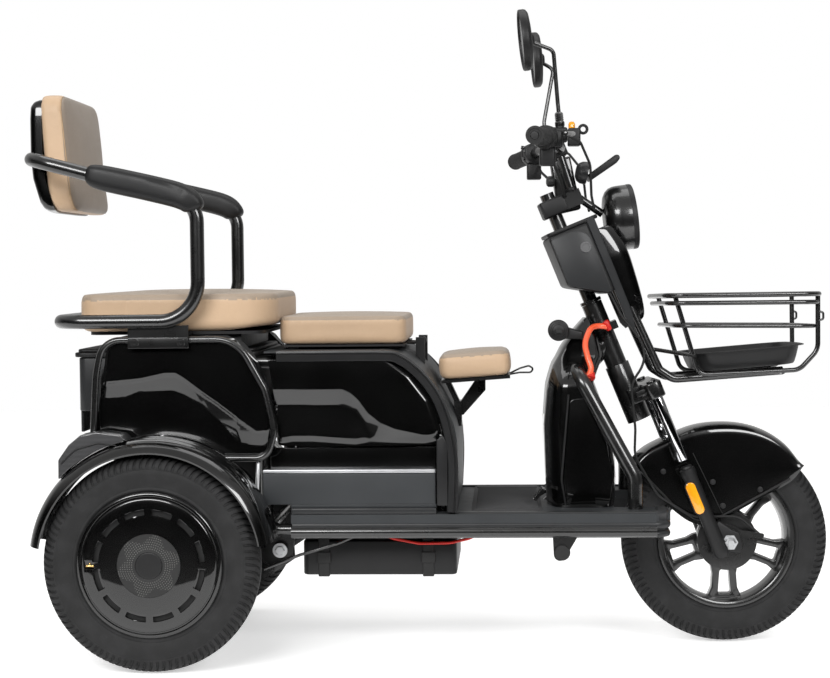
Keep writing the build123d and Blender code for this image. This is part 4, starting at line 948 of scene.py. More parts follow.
class SCOOTER_OT_front_wheel(Operator):
    """Cast front rim with forked spokes, drum and hub"""

    bl_idname = "scooter.front_wheel"
    bl_label = "Front rim"

    def execute(self, context):
        barrel = turned(
            "front_rim_barrel",
            [
                (138, 32.4), (138.4, 34.6), (137.4, 36.3), (134, 36.6), (129, 36.2), (126, 34.5),
                (124.4, 30), (121.4, 16), (121, 13), (121, -13), (121.4, -16), (124.4, -30),
                (126, -34.5), (129, -36.2), (134, -36.6), (137.4, -36.3), (138.4, -34.6),
                (138, -32.4), (134, -32.2), (129, -31.8), (127.2, -30), (127, -18), (125, -12),
                (125, 12), (127, 18), (127.2, 30), (129, 31.8), (134, 32.2),
            ],
            steps=96,
        )
        hub = turned(
            "front_hub",
            [
                (7.7, -35.9), (44, -35.9), (56, -34.5), (58, -31), (58, -8), (56, -5), (49, -4.2),
                (40, -2), (34, 6), (32, 16), (31, 28), (29, 34), (26, 36), (7.7, 36),
            ],
            steps=72,
        )
        spokes = spread(front_spoke(), 5, (0, 0, 0))
        rim = smooth(joined("front_rim_cast", barrel, hub, spokes), 40)
        steered(shifted(rim, *FRONT_HUB))
        keep(rim, "front_wheel", "rim_paint", "rim", "front_rim")
        return {"FINISHED"}


# ---------------------------------------------------------------- fenders and side panels
def patch(name, bottom, right, top, left, across, along, lift, wall, face):
    """Panel between four edges, each point pushed out along Y by lift(x, z)."""

    def place(u, v):
        low, high, near, far = bottom(u), top(u), left(v), right(v)
        flat = (
            low * (1 - v) + high * v + near * (1 - u) + far * u
            - bottom(0) * (1 - u) * (1 - v) - bottom(1) * u * (1 - v)
            - top(0) * (1 - u) * v - top(1) * u * v
        )
        return flat.x, lift(flat.x, flat.y), flat.y

    return sheet(name, place, across, along, wall, face)


FENDER_R = 236.6


def fender_arch(name, section, first, last, steps, bumps=()):
    """Arched skin about the Y axis; section points are (radius, across, ridge share)."""
    profile = line([(r, y, k) for r, y, k in section])
    rows = 30

    def place(u, v):
        angle = radians(first + (last - first) * u)
        radius, across, share = profile(v)
        for low, high, rise in bumps:
            radius += rise * share * ramp(u, low, low + 0.06) * (1 - ramp(u, high - 0.06, high))
        return radius * cos(angle), across, radius * sin(angle)

    return sheet(name, place, steps, rows, 2.6, (0, 0, 1))


class SCOOTER_OT_rear_fenders(Operator):
    """Rear fenders with rolled lips, and the wedge lamps on their shoulders"""

    bl_idname = "scooter.rear_fenders"
    bl_label = "Rear fenders and lamps"

    def execute(self, context):
        section = [
            (216, 234.5, 0), (232, 234.5, 0), (235.4, 237, 0), (236, 243, 0), (236, 258, 0),
            (236.3, 264, 1), (236, 272, 0), (236, 283, 0), (236.2, 290, 1), (235.8, 298, 0),
            (235, 309, 0), (233, 318, 0), (229.4, 327, 0), (224, 335, 0), (218, 340, 0),
            (213.6, 342.4, 0), (211.6, 343.6, 0), (210.2, 343, 0), (210, 341.6, 0),
        ]
        fender = fender_arch("rear_fenders_skin", section, 10, 171, 84, [(0.16, 0.55, 2.2)])
        shifted(fender, REAR, 0, AXLE_Z)
        fender = smooth(paired(fender), 50)
        keep(fender, "chassis", "gloss_body", "gloss", "rear_fenders")
        self.lamps()
        return {"FINISHED"}

    def lamps(self):
        """Wedge lamps: dark base and pale lens with a curved rib."""
        rear = [(-174, 371), (-173.5, 405), (-154, 432), (-132, 450), (-100, 457), (-56, 451),
                (-46, 443)]
        wall = [(REAR + x, z) for x, z in rear]
        arc = [(FENDER_R * cos(radians(a)), FENDER_R * sin(radians(a))) for a in range(104, 140, 3)]
        lower = [(REAR + x, AXLE_Z + z) for x, z in arc]
        body = slab("lamp_body", wall + lower, 250.6, 317, 5.0, 4)
        lens_wall = [(x - 1.2, z + 1.0) for x, z in wall[:6]]
        inner = [(x + 12, z - 12) for x, z in reversed(wall[:6])]
        lens = slab("lamp_lens", lens_wall + inner, 258, 310, 3.4, 4)
        rib = pipe(
            "lamp_rib",
            [(REAR - 168, 318.2, 398), (REAR - 140, 318.2, 425), (REAR - 96, 318.2, 437),
             (REAR - 62, 318.2, 432)],
            1.2, 18,
        )
        body, lens, rib = (smooth(paired(piece), 40) for piece in (body, lens, rib))
        keep(body, "chassis", "lamp", "tail", "tail_lamps")
        keep(lens, "chassis", "lamp", "tail")
        keep(rib, "chassis", "satin_black", "plastic")


def rear_relief(x, z):
    """Height of the rear side panel: full upper face, a band turned down, a flat lower face."""
    edge = [(-122, 443), (-98, 636), (-60, 643), (158, 642), (206, 590), (233, 458), (212, 402),
            (128, 402), (96, 424), (60, 436), (0, 443)]
    inside = from_edge(x - REAR, z, edge)
    upper = table(x - REAR, [(-98, 545), (-30, 551), (16, 561), (38, 561), (54, 551), (88, 525),
        (120, 503), (164, 471), (193, 452), (222, 454), (236, 460)])
    lower = table(x - REAR, [(-98, 514), (-62, 516), (-36, 526), (30, 528), (50, 521), (88, 499),
        (125, 461), (158, 427), (183, 421), (220, 421), (236, 425)])
    above = ramp(z, upper - 4, upper + 5)
    slope = min(max((z - lower) / max(upper - lower, 1), 0), 1)
    crown = 1 - ((z - 600) / 160) ** 2 if z > upper else 1
    pitch = table(x - REAR, [(45, 0.22), (110, 0.155)])
    rise = pitch * (upper - lower) * max(slope, above) + 2.4 * crown * above
    return 229.6 + rise * ramp(inside, -1, 15)


def mid_relief(x, z):
    """Height of the middle side panel: bulge above, a soft hollow and an island below."""
    r = x - REAR
    edge = [(180, 604), (436, 604), (492, 562), (530, 512), (550, 450), (545, 432), (516, 421),
            (230, 419), (200, 432)]
    inside = from_edge(r, z, edge)
    brow = table(r, [(219, 532), (359, 532), (375, 524), (389, 510), (407, 484), (429, 468),
        (459, 453), (509, 441), (552, 436)])
    island = [(229, 498), (349, 496), (373, 484), (391, 459), (399, 437), (383, 431), (339, 437),
              (299, 441), (259, 441), (241, 437)]
    within = from_edge(r, z, island)
    below, out = max(brow - z, 0), min(max(-within, 0), max(z - 423, 0))
    bulge = 8.0 * (out / (out + below) if below else 1)
    bulge += 1.6 * ramp(z, brow + 4, brow + 50) * ramp(600 - z, 0, 50)
    knoll = 4.0 * ramp(within, -12, 2) * min(max((500 - z) / 62, 0), 1)
    return 221.0 + (bulge + knoll) * ramp(inside, -2, 16)


class SCOOTER_OT_side_panels(Operator):
    """Bulged gloss panels between the hoops, channels and lower boards"""

    bl_idname = "scooter.side_panels"
    bl_label = "Side panels"

    def execute(self, context):
        wall = context.scene.scooter_sizes.panel_wall / MM
        r = REAR
        turns = [radians(a) for a in range(112, 55, -4)]
        arc = [(FENDER_R * cos(a), FENDER_R * sin(a) + AXLE_Z) for a in turns]
        foot = [(-121, 443), (-104, 443.6)] + [(x, z) for x, z in arc if x > -90]
        rear = patch("rear_panel", line([(r + x, z) for x, z in foot + [(134, 402.5),
            (206, 402.5)]]), line([(r + x, z) for x, z in [(206, 402.5), (222, 420), (232, 456),
            (229, 490), (207, 566), (190, 598)]]), line([(r + x, z) for x, z in [(-96, 612),
            (-84, 630), (-56, 637), (60, 637), (140, 635), (170, 622), (190, 598)]]),
            line([(r + x, z) for x, z in [(-121, 443), (-114, 500), (-96, 612)]]), 120, 76,
            rear_relief, wall, (0, 1, 0))
        mid = patch(
            "mid_panel",
            line([(r + x, z) for x, z in [(240, 432), (256, 420), (516, 421), (543, 433)]], True),
            line([(r + x, z) for x, z in [(543, 433), (549, 452), (530, 511), (493, 561)]], True),
            line([(r + x, z) for x, z in [(216, 586), (300, 588), (430, 587), (493, 561)]]),
            line([(r + x, z) for x, z in [(240, 432), (226, 520), (216, 586)]]),
            120, 64, mid_relief, wall, (0, 1, 0),
        )
        rear, mid = paired(rear), paired(mid)
        keep(rear, "chassis", "gloss_body", "gloss", "rear_panels")
        keep(mid, "chassis", "gloss_body", "gloss", "mid_panels")
        self.hoops()
        self.channels()
        self.boards()
        return {"FINISHED"}

    def hoops(self):
        """Tube round each rear panel, its lower front corner swept under."""
        points = [(-124, 418), (-116, 561), (-101, 628), (158, 628), (212, 530), (229, 452),
                  (214, 399), (118, 399.5)]
        path = [(REAR + x, 243, z) for x, z in points]
        tube = pipe("rear_hoop", path, 6.5, [200, 42, 70, 60, 60, 30])
        keep(paired(tube), "chassis", "frame_paint", "enamel", "rear_hoops")

    def channels(self):
        """Border channel with a fine groove near its outer edge."""
        r = REAR
        outer = line([(r + x, z) for x, z in [(232, 604), (432, 604), (470, 598), (508, 571),
            (541, 531), (562, 486), (575, 431), (580, 374), (577, 292)]], True)
        path = [outer(k / 60) for k in range(61)]
        profile = [(0, 224), (0, 233.4), (-4, 234.4), (-5, 232.8), (-6.4, 232.8), (-7.4, 234.6),
                   (-18.5, 234), (-20.4, 232), (-20.4, 224)]
        band = swept("side_channel", [(p.x, p.y) for p in path], [(a, y) for a, y in profile])
        post = slab(
            "channel_post", [(r + 538, 305), (r + 559, 305), (r + 559, 425), (r + 550, 441),
                             (r + 538, 431)], 224.4, 233.6, 2.2,
        )
        band = smooth(paired(joined("side_channel", band, post)), 40)
        keep(band, "chassis", "grey_band", "channel", "side_frames")

    def boards(self):
        """Charcoal lower panel, its bright top edge, dark step above and rail below."""
        r = REAR
        panel = slab("lower_board", oblong(r + 202, 307, r + 536, 367), 219, 225, 2.0)
        strip = slab("lower_strip", oblong(r + 202, 367.4, r + 536, 374.6), 208, 224, 1.6)
        recess = slab("lower_recess", oblong(r + 216, 374, r + 537, 416), 206, 211, 1.2)
        lip = slab("lower_lip", oblong(r + 256, 288.5, r + 537, 301), 206, 229.6, 3.2)
        foot = slab("lower_foot", oblong(r + 256, 300, r + 537, 308), 212, 224, 1.5)
        bar = rod("lock_rod", (r + 191, 231, 322), (r + 195, 231, 390), 4.2)
        ring = pipe("lock_loop", [(r + 191, 231, 330), (r + 184, 231, 318), (r + 191, 231, 306),
            (r + 198, 231, 318)], 1.7, 5, True)
        board = smooth(paired(joined("lower_board", panel, foot)), 40)
        dark, recess = smooth(paired(lip), 40), smooth(paired(recess), 40)
        keep(recess, "chassis", "gloss_body", "gloss")
        bright = smooth(paired(strip), 40)
        latch = smooth(paired(joined("lock_rod", bar, ring)), 40)
        keep(board, "chassis", "satin_black", "board", "lower_panels")
        keep(dark, "chassis", "satin_black", "satin")
        keep(bright, "chassis", "alloy", "steel")
        keep(latch, "chassis", "steel", "steel")


class SCOOTER_OT_trunk(Operator):
    """Luggage box with its stepped lid"""

    bl_idname = "scooter.trunk"
    bl_label = "Trunk and lid"

    def execute(self, context):
        low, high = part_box("trunk")[0] / MM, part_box("trunk")[1] / MM
        body = case("trunk_body", (low.x, low.y, 486), tuple(high - Vector((0, 0, 1))), 16, 2.5)
        skirt = case("trunk_skirt", (low.x + 0.5, -154, 444), (low.x + 7, 154, 490), 3, 1.0)
        ribs = [case("trunk_rib", (low.x + 1, y - 4, 470), (low.x + 9, y + 4, 560), 3, 1.5)
                for y in (-120, 120)]
        body = smooth(joined("trunk_body", body, skirt, *ribs), 40)
        keep(body, "chassis", "satin_black", "satin", "trunk")
        lo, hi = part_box("trunk_lid")[0] / MM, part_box("trunk_lid")[1] / MM
        rim = case("lid_rim", (lo.x, lo.y, lo.z), (hi.x, hi.y, lo.z + 9), 18, 2.2)
        crown = case("lid_crown", (lo.x + 6, lo.y + 6, lo.z + 8), (hi.x - 6, hi.y - 6, hi.z), 14, 3)
        tab = case("lid_tab", (lo.x + 0.2, -22, lo.z - 26), (lo.x + 6.5, 22, lo.z + 2), 2.5, 2)
        lid = smooth(joined("trunk_lid_cap", rim, crown, tab), 40)
        keep(lid, "chassis", "satin_black", "plastic", "trunk_lid")
        return {"FINISHED"}


# ---------------------------------------------------------------- front bodywork
def shield_section(z):
    """Rear edge, front edge and half width of the leg shield at a height (x ahead of the axle)."""
    back = table(z, [(288, -356), (343, -362), (441, -364.5), (520, -357.5), (565, -345.5),
        (600, -328), (632, -304), (650, -288), (658, -280)])
    front = table(z, [(288, -223), (343, -220), (400, -224), (475, -242), (532, -263), (560, -252),
        (585, -241), (620, -252), (650, -264), (658, -270)])
    half = table(z, [(288, 140), (470, 139), (530, 135), (548, 122), (562, 104), (580, 80),
        (600, 64), (625, 54), (650, 46), (658, 42)])
    return back, front, half


class SCOOTER_OT_leg_shield(Operator):
    """Glossy leg shield with its side pockets, guard tubes, lock and pedal"""

    bl_idname = "scooter.leg_shield"
    bl_label = "Leg shield"

    def execute(self, context):
        columns, rows, low, high = 72, 44, 288.4, 656.5

        def place(column, row):
            z = low + (high - low) * (row / rows)
            back, front, half = shield_section(z)
            turn = 2 * pi * column / columns
            east, side = cos(turn), sin(turn)
            x = (back + front) / 2 + (front - back) / 2 * power(east, 0.42)
            y = half * power(side, 0.5)
            if east < 0:
                hollow = 10 * (abs(y) / 140) ** 2 * ramp(z, 288, 330)
                x += hollow - 3.5 * exp(-((abs(y) - 70) / 16) ** 2)
            return FRONT + x, y, z

        shell = wrapped("leg_shield_shell", columns, rows, place)
        smooth(shell, 60)
        pocket = [(-314, 500), (-327, 343), (-320, 292), (-238, 292), (-230, 342), (-252, 470),
                  (-270, 505)]
        inlay = slab("shield_pocket", cornered([(FRONT + x, z) for x, z in pocket], 12), 136.5,
            139.6, 1.2)
        hem = pipe("shield_hem", [(FRONT + x, 140.4, z) for x, z in [(-316, 510), (-331, 343),
            (-323, 293)]], 2.2, 30)
        inlay, hem = smooth(paired(inlay), 40), paired(hem)
        keep(shell, "chassis", "gloss_body", "gloss", "leg_shield")
        keep(inlay, "chassis", "gloss_body", "gloss")
        keep(hem, "chassis", "satin_black", "plastic")
        coat("enamel", "leg_guard")
        self.lock()
        self.pedal()
        return {"FINISHED"}

    def lock(self):
        """Lock barrel with its ringed face, key and key ring."""
        at = Vector((FRONT - 333, -92, 634))
        barrel = turned(
            "lock_barrel",
            [(0, -1), (11, -1), (12, -0.4), (12.6, 1), (15, 1.6), (16, 3), (19, 3.4), (20.4, 4.6),
             (21, 7), (21, 25), (20, 26), (0, 26)],
            at, (0, 1, 0), 48,
        )
        foot = slab("lock_foot", [(FRONT - 333, 646), (FRONT - 299, 635), (FRONT - 284, 632),
            (FRONT - 284, 615), (FRONT - 333, 618)], -82, -52, 4)
        keep(smooth(joined("lock_barrel", barrel, foot), 40), "chassis", "satin_black",
             "plastic", "ignition_lock")
        key = joined(
            "lock_key",
            case("key_bow", (at.x - 8, -111, 629), (at.x + 8, -97, 637), 4, 1.5),
            rod("key_shank", at + Vector((0, 1, -1)), at + Vector((0, -6, -1)), 3.4, 0.6),
        )
        keep(smooth(key, 40), "chassis", "satin_black", "rubber")

    def pedal(self):
        """Ribbed brake pedal beside the shield."""
        coat("enamel", "foot_pedal")
        ribs = []
        for k in range(6):
            share = (k + 0.5) / 6
            x, z = FRONT - 386.3 + 17 * share, 304.3 + 20 * share
            ribs.append(rod("pedal_rib", (x, -122, z), (x, -84, z), 1.3, 0.5, 10))
        keep(joined("pedal_ribs", *ribs), "chassis", "rubber", "rubber")


class SCOOTER_OT_floor(Operator):
    """Deck with grooved edges, ribbed mat and rounded front corners"""

    bl_idname = "scooter.floor"
    bl_label = "Deck and mat"

    def execute(self, context):
        pitch = context.scene.scooter_sizes.mat_pitch / MM
        low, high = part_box("floor_mat")[0] / MM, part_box("floor_mat")[1] / MM
        base = case("mat_base", (low.x, low.y, low.z), (high.x, high.y, low.z + 1.6), 6, 0.5)
        ribs, y = [], -156.0
        first = slab("mat_rib", [(low.x + 8, 1), (high.x - 6, 1), (high.x - 7, 3.2),
            (low.x + 9, 3.2)], -pitch * 0.22, pitch * 0.22, 0.5, 2)
        while y < 157:
            ribs.append(twin(first, shift(0, y, low.z)))
            y += pitch
        bpy.data.objects.remove(first)
        strips = [case("mat_strip", (low.x + 5, y - 22, low.z + 1), (high.x - 4, y + 22, low.z + 3),
            5, 0.8) for y in (-190, 190)]
        mat = smooth(joined("floor_mat_ribbed", base, *ribs, *strips), 40)
        keep(mat, "chassis", "rubber", "mat", "floor_mat")
        self.edge()
        return {"FINISHED"}

    def edge(self):
        """Grooved side board of the deck, carried round the front corner."""
        x0, x1 = REAR + 258, FRONT - 124
        profile = [(-4, 0), (-0.6, 0.8), (1.6, 3.4), (2, 7), (0.8, 10.6), (-2.4, 12.6),
            (-5.4, 13.4), (-5.4, 15.4), (-2.4, 16.2), (1, 18.2), (2.4, 21.6), (2.4, 26), (1, 29.4),
            (-1.6, 31.4), (-2.4, 33.2), (-2.4, 43), (-1.2, 45), (-1.4, 47.4), (-3.4, 49.4),
            (-8, 50), (-22, 50), (-22, 0)]
        plan = [Vector((x0 + (x1 - 34 - x0) * k / 8, 225)) for k in range(9)]
        for k in range(1, 9):
            turn = radians(90 * k / 8)
            plan.append(Vector((x1 - 34 + 32 * sin(turn), 193 + 32 * cos(turn))))
        plan.append(Vector((x1 - 2, 138)))

        def place(column, row):
            here = plan[row]
            ahead = plan[min(row + 1, len(plan) - 1)] - plan[max(row - 1, 0)]
            ahead.normalize()
            out, up = profile[column]
            spot = here + Vector((-ahead.y, ahead.x)) * out
            return spot.x, spot.y, 241 + up

        board = wrapped("deck_side", len(profile), len(plan) - 1, place)
        board = smooth(paired(board), 40)
        keep(board, "chassis", "grey_band", "satin")
        coat("board", "floor_board")


# ---------------------------------------------------------------- padded pieces
def swell(piece, pressure, cap, voxel=5.0, held=None, share=0.3):
    """Let the padding swell by cloth under pressure, no point moving further than the cap."""
    modify(piece, "REMESH", mode="VOXEL", voxel_size=voxel * MM)
    start = [vertex.co.copy() for vertex in piece.data.vertices]
    normals = [vertex.normal.copy() for vertex in piece.data.vertices]
    grab(piece)
    cloth = piece.modifiers.new("Cloth", "CLOTH")
    cloth.settings.quality = 5
    cloth.settings.use_pressure = True
    cloth.settings.uniform_pressure_force = pressure
    cloth.settings.effector_weights.gravity = 0
    if held:
        group = piece.vertex_groups.new(name="held")
        low = [k for k, spot in enumerate(start) if held(spot / MM)]
        group.add(low, 1.0, "REPLACE")
        cloth.settings.vertex_group_mass = "held"
    for number in range(1, 21):
        bpy.context.scene.frame_set(number)
    bpy.ops.object.modifier_apply(modifier=cloth.name)
    bpy.context.scene.frame_set(1)
    for vertex, spot, out in zip(piece.data.vertices, start, normals):
        rise = (vertex.co - spot).dot(out)
        vertex.co = spot + out * min(max(rise * share, 0), cap * MM)
    modify(piece, "SMOOTH", factor=0.5, iterations=6)
    modify(piece, "SUBSURF", levels=1, render_levels=1)
    return smooth(piece, 180)


def squeeze(piece, low, high):
    """Scale a swollen piece, axis by axis, to lie between two corners in millimetres."""
    low, high = Vector(low) * MM, Vector(high) * MM
    for axis in range(3):
        least = min(vertex.co[axis] for vertex in piece.data.vertices)
        most = max(vertex.co[axis] for vertex in piece.data.vertices)
        scale = (high[axis] - low[axis]) / (most - least)
        for vertex in piece.data.vertices:
            vertex.co[axis] = low[axis] + (vertex.co[axis] - least) * scale
    return piece


def flatten(piece, level, share):
    """Press the dome of a seat down, above a level in millimetres."""
    for vertex in piece.data.vertices:
        over = vertex.co.z - level * MM
        if over > 0:
            vertex.co.z -= over * (1 - share)
    return piece


def dent(piece, path, depth, width):
    """Sew a channel into a padded piece along a path."""
    spots = [Vector(p) * MM for p in path]
    for vertex in piece.data.vertices:
        near = min((vertex.co - spot).length for spot in spots)
        if near < width * MM:
            share = 1 - near / (width * MM)
            vertex.co -= vertex.normal * depth * MM * share * share
    return piece


def around(piece, height, inset):
    """Outline of a padded piece at a height, in millimetres, drawn in by an inset."""
    centre = sum((v.co for v in piece.data.vertices), Vector()) / len(piece.data.vertices)
    bins = {}
    for vertex in piece.data.vertices:
        if abs(vertex.co.z / MM - height) < 4.2:
            out = Vector((vertex.co.x - centre.x, vertex.co.y - centre.y))
            slot = round(atan2(out.y, out.x) / (2 * pi) * 72) % 72
            if slot not in bins or out.length > bins[slot][0]:
                bins[slot] = (out.length, vertex.co.copy())
    ring = []
    for slot in sorted(bins):
        spot = bins[slot][1] / MM
        pull = Vector((spot.x - centre.x / MM, spot.y - centre.y / MM, 0)).normalized() * inset
        ring.append(Vector((spot.x, spot.y, height)) - pull)
    return ring


def parted(piece, finishes, test):
    """Give a piece several finishes: test(centre, normal) picks the slot of each face."""
    piece.data.materials.clear()
    for finish in finishes:
        piece.data.materials.append(FINISHES[finish].material)
    for face in piece.data.polygons:
        face.material_index = test(face.center / MM, face.normal)
    return piece


def padded(piece, body, node):
    """Attach a padded piece to its body and hide its frame node."""
    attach(piece, body)
    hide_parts(node)
    return piece


def sewn(piece, seam, depth, width):
    """Draw in a seat pad at its seam, where the leather of the top and of the sides meet."""
    dent(piece, around(piece, seam, 0.2), depth, width)

    def below(spot, normal):
        return 0 if spot.z > seam - 1.5 and (normal.z > 0.05 or spot.z > seam + 4) else 1

    return parted(piece, ("top", "side"), below)


def seat_block(name, x0, x1, half, z0, z1, corner, ease):
    """Starting form of a seat pad, a little smaller than the finished one."""
    return case(name, (x0, -half, z0), (x1, half, z1), corner, ease, 4)


class SCOOTER_OT_rear_seat(Operator):
    """Rear bench: a wide crowned pad with sewn sides"""

    bl_idname = "scooter.rear_seat"
    bl_label = "Rear seat"

    def execute(self, context):
        cap = context.scene.scooter_sizes.seat_puff / MM
        low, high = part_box("rear_seat_cushion")[0] / MM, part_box("rear_seat_cushion")[1] / MM
        x0, x1, half = low.x + 6, high.x - 6, high.y - 6
        plan = bent([(x0, -half, 0), (x1, -half, 0), (x1, half, 0), (x0, half, 0)],
                    [40, 88, 88, 40], True)
        pad = prism("rear_seat_pad", [(p.x, p.y, low.z) for p in plan],
                    (0, 0, high.z - 6 - low.z), 13, 4)
        swell(pad, 4.0, cap, 5.5, held=lambda spot: spot.z < low.z + 5)
        flatten(pad, high.z - 9, 0.35)
        squeeze(pad, low, high + Vector((0, 0, 3)))
        for vertex in pad.data.vertices:
            ahead = ramp(vertex.co.x / MM, high.x - 120, high.x)
            depth = 1 - ramp(vertex.co.z / MM, low.z, low.z + 34)
            vertex.co.z += 9 * MM * ahead * depth
        seam = high.z - 14
        sewn(pad, seam, 1.2, 6.5)
        padded(pad, "chassis", "rear_seat_cushion")
        for sign in (-1, 1):
            path = line([(low.x + 74, sign * (high.y - 0.6), low.z + 4),
                (low.x + 92, sign * (high.y + 0.2), low.z + 24), (low.x + 98, sign * (high.y - 0.2),
                seam - 2)])
            dent(pad, [path(k / 12) for k in range(13)], 1.6, 5)
        coat("plastic", "rear_seat_pan")
        return {"FINISHED"}


class SCOOTER_OT_driver_seat(Operator):
    """Driver's lifting cushion on its base"""

    bl_idname = "scooter.driver_seat"
    bl_label = "Driver's seat"

    def execute(self, context):
        cap = context.scene.scooter_sizes.seat_puff / MM * 0.8
        low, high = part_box("driver_cushion")[0] / MM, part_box("driver_cushion")[1] / MM
        pad = seat_block("driver_seat_pad", low.x - 3, high.x - 5, high.y - 5, low.z, high.z - 5,
            26, 11)
        swell(pad, 3.6, cap, 5.0, held=lambda spot: spot.z < low.z + 5)
        flatten(pad, high.z - 8, 0.4)
        squeeze(pad, low - Vector((8, 0, 0)), high + Vector((0, 0, 1.5)))
        sewn(pad, high.z - 10, 1.0, 6)
        padded(pad, "driver_seat", "driver_cushion")
        coat("plastic", "driver_seat_base", "seat_hinge")
        return {"FINISHED"}


class SCOOTER_OT_child_seat(Operator):
    """Child's cushion on its strut, with the pull loop in front"""

    bl_idname = "scooter.child_seat"
    bl_label = "Child seat"

    def execute(self, context):
        cap = context.scene.scooter_sizes.seat_puff / MM * 0.6
        r, z = REAR, SEAT_BOX_TOP - 61
        pad = seat_block("child_seat_pad", r + 547, r + 676, 90, z, z + 43, 22, 12)
        swell(pad, 3.4, cap, 4.5, held=lambda spot: spot.z < z + 5)
        squeeze(pad, (r + 539, -98, z), (r + 684, 98, z + 54))
        sewn(pad, z + 44, 1.0, 5.5)
        moved(pad, about((r + 611, 0, z), radians(-4)))
        padded(pad, "chassis", "child_cushion")
        cord = pipe("child_seat_loop", [(r + 676, -4, z + 1), (r + 700, -4, z + 13),
            (r + 718, -3, z + 18), (r + 728, 0, z + 12), (r + 722, 3, z + 4), (r + 700, 4, z + 4),
            (r + 676, 4, z)], 1.9, [12, 5, 5, 6, 12])
        keep(cord, "chassis", "steel", "enamel")
        coat("enamel", "child_bracket")
        return {"FINISHED"}


class SCOOTER_OT_backrest(Operator):
    """Backrest cushion with its curved seam, in a glossy shell"""

    bl_idname = "scooter.backrest"
    bl_label = "Backrest"

    def execute(self, context):
        sizes = context.scene.scooter_sizes
        r, s, half, seam = REAR, BENCH, 155, 41

        def lean(z):
            return r + table(z - s, [(236, -216), (290, -226), (342, -232), (400, -236),
                (466, -240)])

        def front(spot, normal):
            return 0 if spot.x > lean(spot.z) + seam else 1

        def rim(inset):
            corners = oblong(-half + inset, 238 + inset, half - inset, 465 - inset)
            return [(y, s + z) for y, z in cornered(corners, 30)]

        pad = prism("backrest_pad", [(0, y, z) for y, z in rim(5)], (44, 0, 0), 8, 3)
        swell(pad, 3.8, sizes.seat_puff / MM * 0.75, 5.0, share=0.12)
        for vertex in pad.data.vertices:
            spot = vertex.co / MM
            across, up = abs(spot.y) / half, abs(spot.z - s - 351) / 114
            crown = 13 * ramp(spot.x, 24, 44) * max(0, 1 - across ** 2.4) * max(0, 1 - up ** 2.4)
            vertex.co.x = (lean(spot.z) + spot.x + crown) * MM
        squeeze(pad, (r - 242, -half, s + 236), (r - 164, half, s + 467))
        ring = [Vector((lean(z) + seam, y, z)) for y, z in rim(1)]
        dent(pad, ring, 3.0, 8)
        # the front face takes the darker leather, a painted shade; the sides take the side leather
        parted(pad, ("back", "side"), front)
        padded(pad, "chassis", "backrest_cushion")
        ring = [Vector((lean(z) + seam, y, z)) for y, z in rim(2)]
        welt = pipe("backrest_welt", ring, sizes.seam / MM / 2, 0, True, 3)
        keep(welt, "chassis", "tan_leather", "thread")
        self.shell()
        return {"FINISHED"}

    def shell(self):
        """Back shell, its side walls carried forward to the cushion."""
        r, s = REAR, BENCH
        across = line([(0, 151), (15, 151), (22, 148), (26, 140), (26.4, 60), (26.4, -60),
            (26, -140), (22, -148), (15, -151), (0, -151)])
        upright = line([(0, 234), (14, 234.6), (22, 240), (26, 252), (26.4, 300), (26.4, 420),
            (25, 446), (18, 456), (8, 459.6), (0, 460)])

        def place(u, v):
            (deep, side), (out, height) = across(u), upright(v)
            edge = r + table(height, [(234, -214), (300, -232), (342, -236), (460, -236)])
            lift = (height - 347) / 113
            pull = 1 - 0.05 * abs(lift) ** 9
            rise = 347 + 113 * lift * (1 - 0.05 * abs(side / 151) ** 9)
            return edge - deep * out / 26.4, side * pull, s + rise

        shell = sheet("backrest_back", place, 56, 64, 3.2, (-1, 0, 0))
        keep(shell, "chassis", "gloss_body", "gloss", "backrest_shell")


class SCOOTER_OT_armrests(Operator):
    """Padded armrests over the front of each arm"""

    bl_idname = "scooter.armrests"
    bl_label = "Armrest pads"

    def execute(self, context):
        r, s, y = REAR, BENCH, 257.5
        path = line([(-124, 309), (-100, 303), (-2, 281), (60, 264), (84, 246), (92, 232)], True)
        columns, rows = 28, 44

        def place(column, row):
            share = row / rows
            spot, ahead = path(share), path(min(share + 0.02, 1)) - path(max(share - 0.02, 0))
            ahead.normalize()
            full = (1 - abs(2 * share - 1) ** 7) ** 0.5
            turn = 2 * pi * column / columns
            east, up = cos(turn), sin(turn)
            wide = 22.5 * power(east, 0.75) * (0.5 + 0.5 * full)
            reach, bend = (19, 0.8) if up > 0 else (31, 0.5)
            tall = reach * power(up, bend) * (0.35 + 0.65 * full)
            return r + spot.x - ahead.y * tall, y + wide, s + spot.y + ahead.x * tall

        pad = wrapped("armrest_pads_soft", columns, rows, place)
        modify(pad, "SUBSURF", levels=1, render_levels=1)
        slot = line([(r + 6, y + 20, s + 292), (r + 34, y + 22, s + 282),
            (r + 62, y + 20, s + 266)])
        dent(pad, [slot(k / 10) for k in range(11)], 2.2, 15)
        pad = smooth(paired(pad), 60)
        pad.data.materials.append(FINISHES["plastic"].material)
        padded(pad, "chassis", "armrest_pads")
        coat("enamel", "arm_frame")
        return {"FINISHED"}


